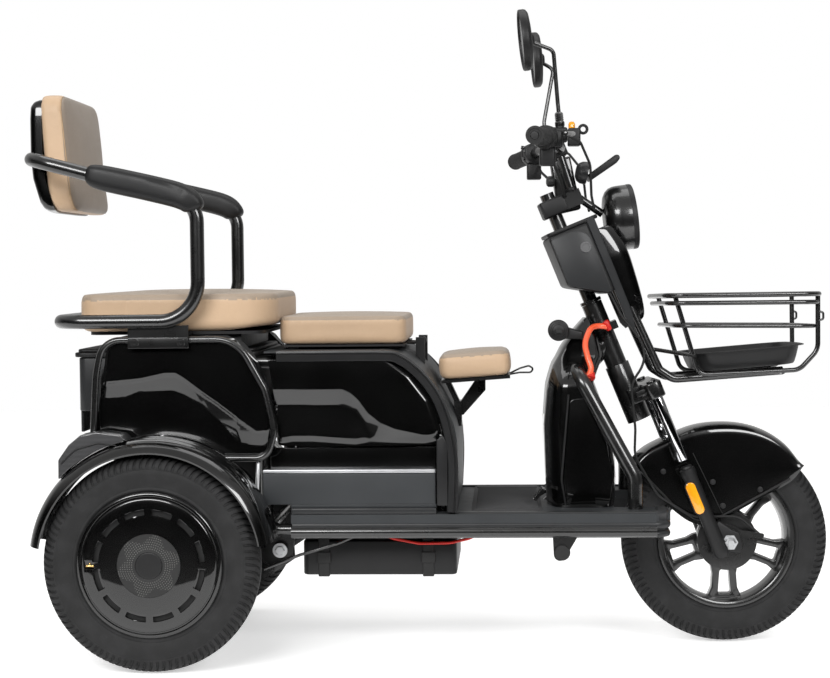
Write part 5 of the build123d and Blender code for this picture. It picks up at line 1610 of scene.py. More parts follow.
# ---------------------------------------------------------------- front fender and fork
class SCOOTER_OT_front_fender(Operator):
    """Deep front fender with gloss skirts, edge rod and bolts"""

    bl_idname = "scooter.front_fender"
    bl_label = "Front fender"

    def execute(self, context):
        crown = line([(-185, 158), (-166, 181), (-132, 200.5), (-60, 229.5), (10, 235.4),
            (70, 223.4), (120, 193.4), (155, 150)], True)
        hem = line([(-183, 150), (-172, 128), (-108, 62), (-60, 33), (-12, 42), (65, 83),
            (128, 117), (154, 148)], True)
        rows, columns, half, fold = 40, 60, 49.6, 0.42

        def place(u, v):
            top, low = crown(u), hem(u)
            turn = v * 2 - 1
            side, reach = sign(turn), abs(turn)
            shoulder = min(14, (top - low).length * 0.4)
            if reach < fold:
                lift = sin(reach / fold * pi / 2)
                share = (1 - cos(reach / fold * pi / 2)) * shoulder
                across = half * lift ** 0.9 * side
            else:
                below = (reach - fold) / (1 - fold)
                share = shoulder + ((low - top).length - shoulder) * below
                across = (half + 2.0 * sin(below * pi)) * side
            run = low - top
            gap = run.length
            spot = top + run.normalized() * share if gap > 1 else top
            return FRONT + spot.x, across, AXLE_Z + spot.y

        skin = sheet("front_fender_skin", place, columns, rows, 2.0, (0, 0, 1))
        edge = pipe("fender_rod", [(FRONT + x, 51.8, AXLE_Z + z) for x, z in [(-168, 136),
            (-106, 70), (-60, 41), (-12, 49), (65, 90), (126, 123)]], 2.4, 30)
        seam = pipe("fender_seam", [(FRONT + x, 51.6, AXLE_Z + z) for x, z in [(-68, 176),
            (-40, 118), (-8, 50)]], 0.9, 60)
        bolts = [rod("fender_bolt", (FRONT + x, 49, AXLE_Z + z), (FRONT + x, 55.5, AXLE_Z + z), 5.5)
                 for x, z in ((-29, 118), (-9, 70), (-128, 140), (66, 102))]
        stay = rod("fender_stay", (FRONT - 74, 50, 326), (FRONT - 74, 66, 326), 8)
        trims = smooth(paired(joined("fender_rod", edge, *bolts, stay)), 40)
        seam = paired(seam)
        for piece in (skin, trims, seam):
            steered(piece)
        keep(skin, "steering", "gloss_body", "gloss", "front_fender")
        keep(trims, "steering", "satin_black", "plastic")
        keep(seam, "steering", "satin_black", "rubber")
        return {"FINISHED"}


class SCOOTER_OT_fork(Operator):
    """Fork crown, chrome stanchions, cast legs and reflectors"""

    bl_idname = "scooter.fork"
    bl_label = "Fork"

    def execute(self, context):
        low = AXLE_Z
        ahead = AXLE_AHEAD * cos(RAKE) - (STEER_AT.z - low) * sin(RAKE)
        down = AXLE_AHEAD * sin(RAKE) + (STEER_AT.z - low) * cos(RAKE)
        crown = prism("fork_crown", [(x, y, -26) for x, y in cornered(oblong(24, -96, 60, 96), 13)],
            (0, 0, 33), 3.0)
        collar = prism("fork_collar", [(x, y, -26) for x, y in cornered(oblong(-6, -31, 32, 31),
            9)], (0, 0, 32), 2.0)
        bore = rod("bore", (0, 0, -60), (0, 0, 60), 24.4, 0.2, 48)
        crown = cut(joined("fork_crown", crown, collar), bore)
        caps = [rod("crown_cap", (42, s * 80, 6), (42, s * 80, 11), 9.5, 1.2) for s in (-1, 1)]
        pinch = [rod("crown_bolt", (16, s * 70, -10), (26, s * 70, -10), 4.6, 1) for s in (-1, 1)]
        clip = case("cable_clip", (6.2, -85, -10), (30, -75, 0), 2, 1)
        crown = raked(joined("fork_crown", crown, clip, *caps, *pinch))
        stanchion = raked(joined("stanchion", *[rod("stanchion", (42, s * 80, 6),
            (42, s * 80, -160), 10.6, 0.5, 40) for s in (-1, 1)]))
        leg = turned("fork_leg", [(0, 0), (10, 0), (13, 3), (15.5, 12), (15.2, 34), (14.4, 60),
            (14, 110), (14.2, 172), (15.2, 176), (15.6, 184), (15.2, 190), (12.4, 191.4),
            (11.6, 195), (10.8, 196), (0, 196)], (42, 80, -down - 22), (0, 0, 1), 40)
        web = slab("fork_web", [(-34, -34), (-4, -20), (22, -22), (26, -2), (20, 20), (4, 26),
            (-22, 44), (-40, 20)], 65, 81, 4)
        shifted(web, ahead, 0, -down)
        moved(web, about((ahead, 0, -down), RAKE))
        leg = paired(raked(joined("fork_leg", leg, web)))
        axle = joined("front_axle_nuts", *[turned("axle_nut", [(0, -3), (7, -3), (7.5, -2),
            (11.4, 1), (12, 3), (12, 8), (11, 9), (16, 9.4), (16.4, 11), (0, 11)],
            (FRONT, s * 92, low), (0, -s, 0), 6, 20) for s in (-1, 1)],
            rod("front_axle", (FRONT, -86, low), (FRONT, 86, low), 7.5))
        amber = joined(
            "reflector",
            *[prism("reflector", [(x, s * 96.4, z) for x, z in
                                  cornered(oblong(-9.5, 33, 9.5, -33), 9)], (0, -s * 5, 0), 1.4)
              for s in (-1, 1)],
        )
        tray = joined(
            "reflector_tray",
            *[prism("reflector_tray", [(x, s * 93, z) for x, z in
                                       cornered(oblong(-11.5, 35.5, 11.5, -35.5), 11)],
                    (0, -s * 2.4, 0), 0.8) for s in (-1, 1)],
        )
        lean = shift(FRONT - 71, 0, 297.5)
        for piece in (amber, tray):
            moved(piece, lean @ Matrix.Rotation(-RAKE, 4, "Y"))
        for piece in (crown, stanchion, leg, axle, amber, tray):
            steered(smooth(piece, 36))
        keep(crown, "steering", "frame_paint", "enamel", "fork")
        keep(stanchion, "steering", "steel", "chrome")
        keep(leg, "steering", "satin_black", "plastic")
        keep(axle, "steering", "steel", "steel")
        keep(amber, "steering", "lamp", "reflector")
        keep(tray, "steering", "satin_black", "plastic")
        coat("rim", "brake_plate")
        coat("rubber", "brake_cable")
        coat("enamel", "steering_stem")
        return {"FINISHED"}


class SCOOTER_OT_nose(Operator):
    """Glove box, its cap, the glossy nose and the headlamp"""

    bl_idname = "scooter.nose"
    bl_label = "Glove box, nose and headlamp"

    def execute(self, context):
        box = slab("glove_box_shell", [(-38, 350), (-38, 245), (30, 203), (46, 203), (46, 350)],
            -88, 88, 7, 4)
        column = 14.8
        cut(box, rod("bore", (0, 0, 150), (0, 0, 380), column, 0.2, 40))
        lid = case("glove_box_cap", (-38, -84, 350), (70, 84, 358), 12, 2.6)
        cut(lid, rod("bore", (0, 0, 300), (0, 0, 380), column, 0.2, 40))
        plan = [(p.x, p.y) for p in bent([(-36, 343, 0), (-36, 246, 0), (30, 206.5, 0),
            (39, 206.5, 0), (39, 343, 0)], [6, 5, 4, 3, 30], True)]
        liner = slab("glove_box_face", plan, 86, 89, 0.8, 2)
        liner = joined("glove_box_face", liner, self.band())
        liner = paired(liner)
        buttons = joined("glove_box_button", *[turned("button", [(0, 0), (11, 0), (11, 3.4),
            (9.6, 4.6), (7.4, 4.6), (6.6, 3.4), (0, 3.2)], (24, s * 87.5, 305), (0, s, 0),
            40) for s in (-1, 1)])
        for piece in (box, lid, liner, buttons):
            steered(raked(smooth(piece, 36)))
        keep(box, "steering", "satin_black", "plastic", "glove_box")
        keep(lid, "steering", "satin_black", "plastic")
        keep(liner, "steering", "satin_black", "satin")
        keep(buttons, "steering", "satin_black", "button")
        self.fairing()
        self.lamp()
        return {"FINISHED"}

    def band(self):
        """Upright band down the side, where the box meets the nose."""
        section = [(45, -6), (45, 1.6), (46.6, 3), (60, 3), (62, 1.4), (62, -6)]

        def place(column, row):
            up = 352 - 234 * row / 16
            ahead, out = section[column]
            half = table(up, [(118, 62), (165, 73), (268, 82), (352, 82)])
            return ahead + (6 if up < 130 else 0), half + out, up + (ahead - 45) * 0.25

        return wrapped("nose_band", len(section), 16, place)

    def fairing(self):
        """Nose skin: a rounded prow with a raised channel down each side."""
        front = line([(62, 329), (88, 327), (99, 300), (103.5, 268), (101, 225), (94, 165),
            (85, 134), (66, 125)], True)
        back = 47.0

        def place(u, v):
            prow, turn = front(v), u * 2 - 1
            reach, side = abs(turn), sign(turn)
            half = table(prow.y, [(125, 62), (165, 72), (268, 81), (329, 80)])
            depth = prow.x - (prow.x - back) * reach ** 5
            across = half * (1 - (1 - reach) ** 1.9) * side
            ridge = 2.4 * exp(-((reach - 0.62) / 0.05) ** 2)
            return depth + ridge * (1 - reach), across + ridge * side * reach, prow.y

        skin = sheet("nose_skin", place, 64, 40, 2.4, (1, 0, 0))
        steered(raked(skin))
        keep(skin, "steering", "gloss_body", "gloss", "nose_fairing")

    def lamp(self):
        """Headlamp: deep bowl, bright rim, reflector and lens."""
        bowl = turned(
            "lamp_bowl",
            [(0, -27), (22, -27), (38, -26), (47, -24), (56, -19), (62, -12), (65, -3), (65.6, 6),
             (65.6, 24), (64.8, 30), (62, 30), (61, 24), (61, 8), (50, -8), (30, -18), (0, -22)],
            axis=(1, 0, 0), steps=72,
        )
        trim = turned("lamp_trim", [(60, 24), (65.9, 24), (66, 30), (65, 33.6), (62.6, 35),
            (60, 34.4), (58.6, 32), (59.4, 28)], axis=(1, 0, 0), steps=72)
        dish = turned(
            "lamp_dish",
            [(0, -17), (14, -16), (34, -8), (50, 7), (58.6, 22), (60, 22), (51, 5), (35, -10),
             (14, -18.6), (0, -20)],
            axis=(1, 0, 0), steps=60,
        )
        bulbs = [rod("lamp_bulb", (-12, y, z), (6, y, z), 7, 2.5) for y, z in ((-16, 0), (16, 0))]
        lens = turned(
            "lamp_lens", [(0, 32.6), (30, 31), (50, 28.4), (59, 25.4), (59.4, 27.4), (50, 30.6),
                          (30, 33.4), (0, 34.8)], axis=(1, 0, 0), steps=60,
        )
        fins = [slab("lamp_fin", [(-26, 6 + 9 * k), (-16, 7 + 9 * k), (-16, 9 + 9 * k),
            (-27, 8 + 9 * k)], -24 + 4 * k, 24 - 4 * k, 0.6, 2) for k in range(3)]
        bowl = joined("lamp_bowl", bowl, *fins)
        place = shift(FRONT - 210, 0, 857) @ Matrix.Rotation(radians(-7), 4, "Y")
        arm = pipe("lamp_arm", [along_axis(58, 0, 402), (FRONT - 240, 0, 866)], 8)
        shells = joined("lamp_bulbs", *bulbs)
        for piece in (bowl, trim, dish, shells, lens):
            moved(piece, place)
        for piece in (bowl, trim, dish, shells, lens, arm):
            steered(smooth(piece, 38))
        keep(bowl, "steering", "satin_black", "enamel", "headlight")
        keep(trim, "steering", "steel", "plastic")
        keep(dish, "steering", "steel", "chrome")
        keep(shells, "steering", "lamp", "lamp")
        keep(lens, "steering", "lamp", "lamp")
        keep(arm, "steering", "frame_paint", "enamel")


def bar_point(side):
    """Point on the straight outer part of the handlebar, a distance to one side."""
    near, far = 150, 310
    inner = Vector((FRONT - 356, sign(side) * near, 1006))
    outer = Vector((FRONT - 397, sign(side) * far, 998))
    return inner.lerp(outer, (abs(side) - near) / (far - near))


def on_bar(name, profile, side, steps=48, angle=38):
    """Ring or sleeve turned about the bar; profile points are (radius, distance outwards)."""
    start, end = bar_point(side), bar_point(side + sign(side) * 10)
    return turned(name, profile, start, (end - start).normalized(), steps, angle)


class SCOOTER_OT_controls(Operator):
    """Grips, switch housings, levers, display and bar clamp"""

    bl_idname = "scooter.controls"
    bl_label = "Handlebar controls"

    def execute(self, context):
        coat("enamel", "handlebar")
        grips, flanges, pods, buttons, levers = [], [], [], [], []
        for s in (-1, 1):
            profile = [(11.2, 0), (21.5, 0), (22.4, 2), (21, 4.4), (17, 5.4)]
            for k in range(15):
                at = 9 + k * 6
                profile += [(17, at), (16.9, at + 3.4), (15.9, at + 4), (15.9, at + 5.2)]
            profile += [(17, 100), (17.6, 102), (17.4, 103.6), (13, 104), (11, 103), (7, 103.4),
                (0, 103.4), (0, 96), (11.2, 96)]
            grips.append(on_bar("grip", profile, s * 212, 40, 30))
            flanges.append(on_bar("bar_end", [(0, 103), (8, 103), (8.4, 104), (7, 105.6), (0, 106)],
                s * 212, 32))
            pods.append(on_bar("pod", [(11.3, 0), (19, 0), (22.6, 2), (23.4, 6), (23.4, 16),
                (22.4, 18), (22.4, 19), (23.6, 21), (23.6, 34), (22.2, 38), (18, 39.6),
                (11.3, 39.6)], s * 172))
            at = bar_point(s * 190)
            pods.append(case("pod_block", (at.x - 2, at.y - 14, at.z - 20),
                (at.x + 30, at.y + 14, at.z + 14), 6, 4))
            pods.append(case("pod_switch", (at.x - 14, s * 190 - 13, 950),
                (at.x + 16, s * 190 + 13, 984), 5, 3))
            hold = bar_point(s * 180)
            pods.append(case("perch", (hold.x - 3, hold.y - 9.5, hold.z - 9),
                (hold.x + 38, hold.y + 9.5, hold.z + 20), 5, 4))
            pods.append(rod("perch_boss", (hold.x + 24, hold.y, hold.z + 12),
                (hold.x + 24, hold.y, hold.z + 23), 8.5, 1.5))
            for k, dz in enumerate((4, -10, 14)):
                spot = bar_point(s * (178 + 8 * k))
                buttons.append(rod("button", (spot.x - 17, spot.y, spot.z + dz),
                    (spot.x - 25, spot.y, spot.z + dz * 1.1), 4.2, 1.2))
            lever = [(hold.x + 34, s * 172, hold.z + 8), (hold.x + 45, s * 186, hold.z + 7),
                     (hold.x + 46, s * 216, hold.z + 4), (hold.x + 34, s * 262, hold.z),
                     (hold.x + 25, s * 290, hold.z - 2)]
            blade = pipe("lever", lever, 4.8, 16)
            tip = rod("lever_tip", lever[-1], Vector(lever[-1]) + Vector((-2, s * 4, 0)), 6, 3)
            levers += [blade, tip]
        sets = (
            (grips, "grip_sleeves", "rubber", "rubber", "grips"),
            (flanges, "bar_end_caps", "rubber", "plastic"),
            (pods, "switch_housings", "satin_black", "plastic", "switch_pods"),
            (buttons, "switch_buttons", "satin_black", "gloss"),
            (levers, "lever_blades", "satin_black", "enamel", "brake_levers"),
        )
        for pieces, name, *role in sets:
            keep(steered(smooth(joined(name, *pieces), 38)), "steering", *role)
        self.centre()
        return {"FINISHED"}

    def centre(self):
        """Clamp block, risers' clamps, display pod, horn and amber repeater."""
        clamp = raked(joined("bar_block", case("bar_block", (-25, -31, 386), (32, 31, 421), 8, 4),
            case("bar_block", (26, -27, 390), (62, 27, 413), 6, 4)))
        bolts = raked(joined("bar_block_bolts", *[rod("block_bolt", (48, s * 22, 418),
            (48, s * 22, 427), 12, 2) for s in (-1, 1)]))
        caps = [raked(case("riser_clamp", (42, s * 22 - 11, 491), (70, s * 22 + 11, 523), 5, 4))
                for s in (-1, 1)]
        pod = turned("display_pod", [(0, 0), (11, 1), (18, 5), (22, 12), (23, 20), (22.6, 24),
            (20, 25), (19, 22), (0, 21)], (FRONT - 297, -26, 951), (1, 0, -0.18), 48)
        hood = slab("display_hood", [(FRONT - 272, 944), (FRONT - 216, 984), (FRONT - 209, 983),
            (FRONT - 207, 976), (FRONT - 214, 967), (FRONT - 266, 932)], -34, 34, 3)
        tower = case("repeater_block", (FRONT - 309, -12, 1004), (FRONT - 284, 14, 1040), 4, 3)
        ring = pipe("repeater_ring", [(FRONT - 286, 0, 1030), (FRONT - 270, 0, 1030),
            (FRONT - 270, 0, 1046), (FRONT - 286, 0, 1046)], 3, 7.9, True)
        amber = turned("repeater", [(0, 0), (6.6, 0), (7, 3), (6.8, 10), (4.6, 14), (0, 15)],
            (FRONT - 301, 0, 1039), (0, 0, 1), 32)
        knob = turned("bar_knob", [(0, 0), (9, 0), (11, 3), (11, 11), (9, 14), (0, 14.6)],
            (FRONT - 340, -26, 931), (-1, -0.2, 0), 32)
        shroud = smooth(slab("column_shroud", [(FRONT - 346, 972), (FRONT - 306, 984),
            (FRONT - 284, 876), (FRONT - 330, 866)], -15, 15, 5), 40)
        keep(steered(shroud), "steering", "satin_black", "enamel")
        black = smooth(joined("bar_centre", clamp, bolts, *caps, hood, tower, ring, knob), 38)
        black, pod, amber = steered(black), steered(pod), steered(amber)
        keep(black, "steering", "satin_black", "plastic")
        keep(pod, "steering", "satin_black", "satin")
        keep(amber, "steering", "lamp", "reflector")
        hoses = []
        for s in (-1, 1):
            hold = bar_point(s * 180)
            hoses.append(pipe("brake_hose", [(hold.x + 36, s * 168, hold.z + 8),
                (FRONT - 296, s * 132, 1000), (FRONT - 272, s * 80, 960),
                (FRONT - 268, s * 58, 900), (FRONT - 262, s * 50, 874)], 2.6, [22, 30, 30, 20]))
            hoses.append(pipe("switch_lead", [(hold.x + 4, s * 196, hold.z - 20),
                (FRONT - 352, s * 150, 962), (FRONT - 330, s * 70, 930),
                (FRONT - 318, s * 34, 900)], 2.8, [20, 34, 26]))
        hoses = steered(joined("bar_leads", *hoses))
        keep(hoses, "steering", "rubber", "rubber")


def mirror_set(side, head, lean, elbow):
    """Mirror shell, glass, stem and boot of one side."""
    x, z = head
    turn = Matrix.Rotation(radians(90 - lean), 4, "Y")
    place = shift(FRONT + x, side * 200, z) @ turn
    shell = moved(turned(
        "mirror_shell",
        [(0, 10), (20, 9.8), (40, 9), (52, 7.4), (57, 4), (58.4, 0), (58.4, -8), (57.6, -10),
         (55.6, -10.6), (54.4, -9.6), (54, -7), (0, -6)], axis=(0, 0, 1), steps=64), place)
    glass = moved(turned("mirror_glass", [(0, -7.6), (54.2, -7.6), (54.2, -6.4), (0, -6.4)],
        axis=(0, 0, 1), steps=64), place)
    knuckle = moved(turned("mirror_knuckle", [(0, 8), (13, 8), (13, 11), (11, 14), (7, 16),
        (0, 16.4)], axis=(0, 0, 1), steps=32), place)
    foot = bar_point(side * 180) + Vector((24, 0, 22.3))
    stem = pipe(
        "mirror_stem",
        [(foot.x, side * 180, foot.z + 2), (foot.x - 4, side * 181, foot.z + 44),
         (FRONT + elbow[0], side * 190, elbow[1]), (FRONT + x, side * 200, z)], 4, [30, 14],
    )
    rings = [(0, 0), (9, 0), (9.4, 1.2), (9.4, 7), (8.6, 8)]
    for k in range(4):
        rings += [(8.6, 9 + 4 * k), (7.4, 10.4 + 4 * k), (8.4, 12 + 4 * k)]
    boot = turned("mirror_boot", rings + [(5.4, 27), (0, 27)], foot, (-0.09, 0, 1), 32, 30)
    return joined("mirror_shell", shell, knuckle), glass, joined("mirror_stem", stem, boot)


class SCOOTER_OT_mirrors(Operator):
    """Round mirrors on crossed stems"""

    bl_idname = "scooter.mirrors"
    bl_label = "Mirrors"

    def execute(self, context):
        near = mirror_set(-1, (-405, 1190), 6, (-352, 1171))
        far = mirror_set(1, (-356, 1206), 4, (-322, 1184))
        sets = (("mirror_shells", "mirror_black", "plastic", "mirrors"),
                ("mirror_glasses", "mirror_black", "mirror"),
                ("mirror_stems", "frame_paint", "enamel"))
        for a, b, (name, *role) in zip(near, far, sets):
            keep(steered(smooth(joined(name, a, b), 38)), "steering", *role)
        return {"FINISHED"}


# ---------------------------------------------------------------- basket
class SCOOTER_OT_basket(Operator):
    """Wire basket with its ribbed tray"""

    bl_idname = "scooter.basket"
    bl_label = "Basket"

    def execute(self, context):
        thin = context.scene.scooter_sizes.wire / MM / 2
        f = FRONT

        def hoop(back, front, half, z_back, z_front, radius):
            points = [(f + back, half, z_back), (f + front, half, z_front),
                (f + front, -half, z_front), (f + back, -half, z_back)]
            return pipe("basket_hoop", points, radius, 38, True)

        parts = [hoop(-131, 172, 148, 699, 700, 5), hoop(-126, 170, 146, 684, 684, 4.6),
                 hoop(-112, 164, 140, 640, 637, 4.2)]
        for s in (-1, 1):
            parts.append(pipe("basket_bow", [(f - 112, s * 122, 698), (f - 66, s * 118, 543),
                (f + 132, s * 118, 551), (f + 168, s * 120, 590), (f + 168, s * 122, 698)], 4.8,
                [22, 30, 34]))
            parts.append(pipe("basket_carrier", [along_axis(60, s * 62, 250),
                (f - 136, s * 62, 552), (f - 108, s * 62, 533), (f + 110, s * 62, 548)], 8.5,
                [16, 30]))
            parts.append(pipe("basket_stay", [(f - 143, s * 64, 592), (f - 108, s * 96, 586),
                (f - 74, s * 126, 580)], thin * 1.4, [30]))
            parts.append(pipe("basket_eye", [(f + 169, s * 124, 666), (f + 178, s * 124, 663),
                (f + 178, s * 124, 650), (f + 169, s * 124, 648)], 2.2, [4, 4]))
        parts.append(pipe("basket_rail", [(f + 100, -118, 547), (f + 100, 118, 547)], 4))
        wires = steered(joined("basket_wires", *parts))
        keep(wires, "steering", "frame_paint", "enamel", "basket_frame")
        self.tray()
        return {"FINISHED"}

    def tray(self):
        """Tray with flared sides, a flat flange and fine ribs round its walls."""
        f, z0 = FRONT, 547
        columns = 160
        section = [(0, 0, 0), (0.6, 0, 0), (0.95, -1, 0), (1, 0, 1), (1, 3, 5), (1, 8, 16),
            (1, 13, 30), (1, 15, 35.4), (1, 26, 36), (1, 27, 37), (1, 26, 38), (1, 14, 37.6),
            (1, 11.6, 34), (1, 4, 12), (1, -2, 4.6), (0.9, 0, 3.4), (0, 0, 3.4)]
        plan = line(cornered(oblong(-93, -104, 93, 104), 34) + [(-93, -70)])
        mark = [plan(k / columns) for k in range(columns)]

        def place(column, row):
            spot, (far, out, up) = mark[column], section[row]
            rib = 0.5 * (1 if column % 2 else -1) if 3 < row < 7 else 0
            here = spot * far + spot.normalized() * (out + rib)
            return f + 37 + here.x, here.y, z0 + up

        tray = wrapped("basket_tray_moulded", columns, len(section) - 1, place)
        ribs = [slab("tray_rib", oblong(f - 46, z0 + 2.6, f + 120, z0 + 5.4), y - 1.6, y + 1.6, 0.6,
            2) for y in range(-80, 81, 16)]
        tray = smooth(joined("basket_tray_moulded", tray, *ribs), 36)
        moved(tray, about((f - 70, 0, z0), radians(-4.5)))
        steered(tray)
        keep(tray, "steering", "satin_black", "plastic", "basket_tray")


# ---------------------------------------------------------------- running gear
class SCOOTER_OT_running_gear(Operator):
    """Dampers with coil springs, swing arm bolts, battery straps and leads"""

    bl_idname = "scooter.running_gear"
    bl_label = "Running gear"

    def execute(self, context):
        sizes = context.scene.scooter_sizes
        r, top = REAR, SEAT_BOX_TOP - 133
        low_z, high_z = AXLE_Z + 58, top - 38
        turns, steps = sizes.spring_turns, 20
        coil = []
        for k in range(turns * steps + 1):
            share = k / (turns * steps)
            turn = 2 * pi * turns * share
            rise = low_z + (high_z - low_z) * share
            coil.append((r - 38 + 18 * cos(turn), 146 + 18 * sin(turn), rise))
        spring = paired(pipe("damper_spring", coil, sizes.spring_wire / MM / 2, 0, False, 3))
        body = joined("damper_body", turned("damper", [(0, 0), (8, 0), (8, 30), (21.6, 34),
            (21.6, 37), (13, 38), (12.4, 110), (7, 112), (7, 200), (20.6, 201), (20.6, 205),
            (8, 206), (8, 232), (0, 232)], (r - 38, 146, AXLE_Z + 24), (0, 0, 1), 32),
            rod("damper_eye", (r - 38, 130.5, top), (r - 38, 161.5, top), 13, 2),
            rod("damper_foot", (r - 38, 136, AXLE_Z + 27), (r - 38, 156, AXLE_Z + 27), 9, 1))
        body = smooth(paired(body), 40)
        keep(body, "chassis", "satin_black", "plastic", "shock_absorbers")
        keep(spring, "chassis", "steel", "enamel")
        pivot = Vector((r + 230, 0, 214))
        bolt = joined(
            "pivot_bolt",
            turned("pivot_washer", [(0, 0), (14, 0), (14.6, 1), (14, 2.2), (0, 2.6)],
                   pivot + Vector((0, 195, 0)), (0, 1, 0), 40),
            turned("pivot_head", [(0, 0), (9.6, 0), (9.6, 4.6), (8.4, 6.4), (0, 6.6)],
                   pivot + Vector((0, 196.8, 0)), (0, 1, 0), 6, 20),
            rod("pivot_shank", pivot + Vector((0, 158, 0)), pivot + Vector((0, 196, 0)), 7.8),
        )
        bolt = smooth(paired(bolt), 34)
        keep(bolt, "chassis", "steel", "steel", "pivot_bolts")
        self.battery()
        coat("enamel", "main_frame", "swing_arms", "rear_axle", "brake_rods")
        coat("board", "storage_box", "seat_box_cover")
        coat("red", "battery_lead")
        return {"FINISHED"}

    def battery(self):
        """Battery case with a lid line, straps and their buckles."""
        low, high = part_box("battery_box")[0] / MM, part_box("battery_box")[1] / MM
        block = case("battery_case", (low.x, -150, 158), (high.x, 150, 226), 12, 4)
        lid = case("battery_lid", (low.x + 1, -149, 228), (high.x - 1, 149, high.z), 11, 3)
        block = smooth(joined("battery_case", block, lid), 40)
        straps = []
        for x in (low.x + 30, low.x + 236):
            straps.append(case("battery_strap", (x, -153, 155), (x + 22, 153, 232), 2, 1.6))
            straps.append(case("battery_buckle", (x - 3, -156, 182), (x + 25, 156, 204), 3, 2))
        straps = smooth(joined("battery_straps", *straps), 40)
        keep(block, "chassis", "satin_black", "plastic", "battery_box")
        keep(straps, "chassis", "rubber", "rubber")


class SCOOTER_OT_fittings(Operator):
    """Connectors, cable ties, seat clamp bolts and other small fittings"""

    bl_idname = "scooter.fittings"
    bl_label = "Small fittings"

    def execute(self, context):
        f, r = FRONT, REAR
        plug = turned("lead_plug", [(0, -6), (6.6, -6), (7.4, -4), (7.4, 12), (6.2, 14), (0, 14)],
            Vector(along_axis(12, -56, 140)), (-0.55, -0.1, 0.83), 24)
        boot = turned("lead_boot", [(0, -3), (8, -3), (8.6, 0), (7, 6), (5.8, 11), (0, 11)],
            (f - 271, -121, 543), (0.2, 0.7, 0.8), 24)
        red = smooth(joined("lead_plugs", plug, boot), 40)
        route = line([along_axis(12, -56, 140), along_axis(-10, -62, 151), (f - 271, -78, 634),
            (f - 281, -98, 608), (f - 277, -112, 582), (f - 271, -119, 560), (f - 277, -120, 543)],
            True)
        conduit = pipe("lock_conduit_sheath", [route(k / 40) for k in range(41)], 5.8)
        keep(conduit, "chassis", "cable_sheath", "sheath", "lock_conduit")
        lead = pipe("battery_lead_drop", [(r + 420, -154, 243), (r + 448, -156, 231),
            (r + 500, -157, 221), (r + 560, -157, 222), (r + 600, -156, 231), (r + 622, -150, 244)],
            3, [40, 60, 60, 40])
        keep(lead, "chassis", "cable_sheath", "red")
        keep(red, "chassis", "cable_sheath", "red")
        bolts = []
        for x in (-36, 53):
            bolts.append(turned("clamp_bolt", [(0, 0), (8, 0), (8, 3.4), (7, 4.6), (3.6, 4.8),
                (3.4, 3.6), (0, 3.6)], (r + x, 255.6, SEAT_BOX_TOP + 20), (0, 1, 0), 24))
        plate = slab("clamp_plate", oblong(r - 50, 612, r + 67, 633), 255, 257.4, 1.6)
        clamp = smooth(paired(joined("seat_clamp_face", plate, *bolts)), 38)
        keep(clamp, "chassis", "satin_black", "enamel")
        pad = turned("stand_pad", [(0, -2), (13, -2), (15, 0), (15.6, 4), (15.6, 12), (14, 15),
            (0, 15)], (f - 333, 212, 213), (0, 1, 0), 32)
        keep(paired(pad), "chassis", "rubber", "rubber")
        bands = []
        for x in (f - 420, f - 505):
            bands.append(case("cable_tie", (x - 2, -147, 236), (x + 2, -133, 250), 1, 0.8))
        keep(smooth(joined("cable_ties", *bands), 40), "chassis", "rubber", "rubber")
        return {"FINISHED"}


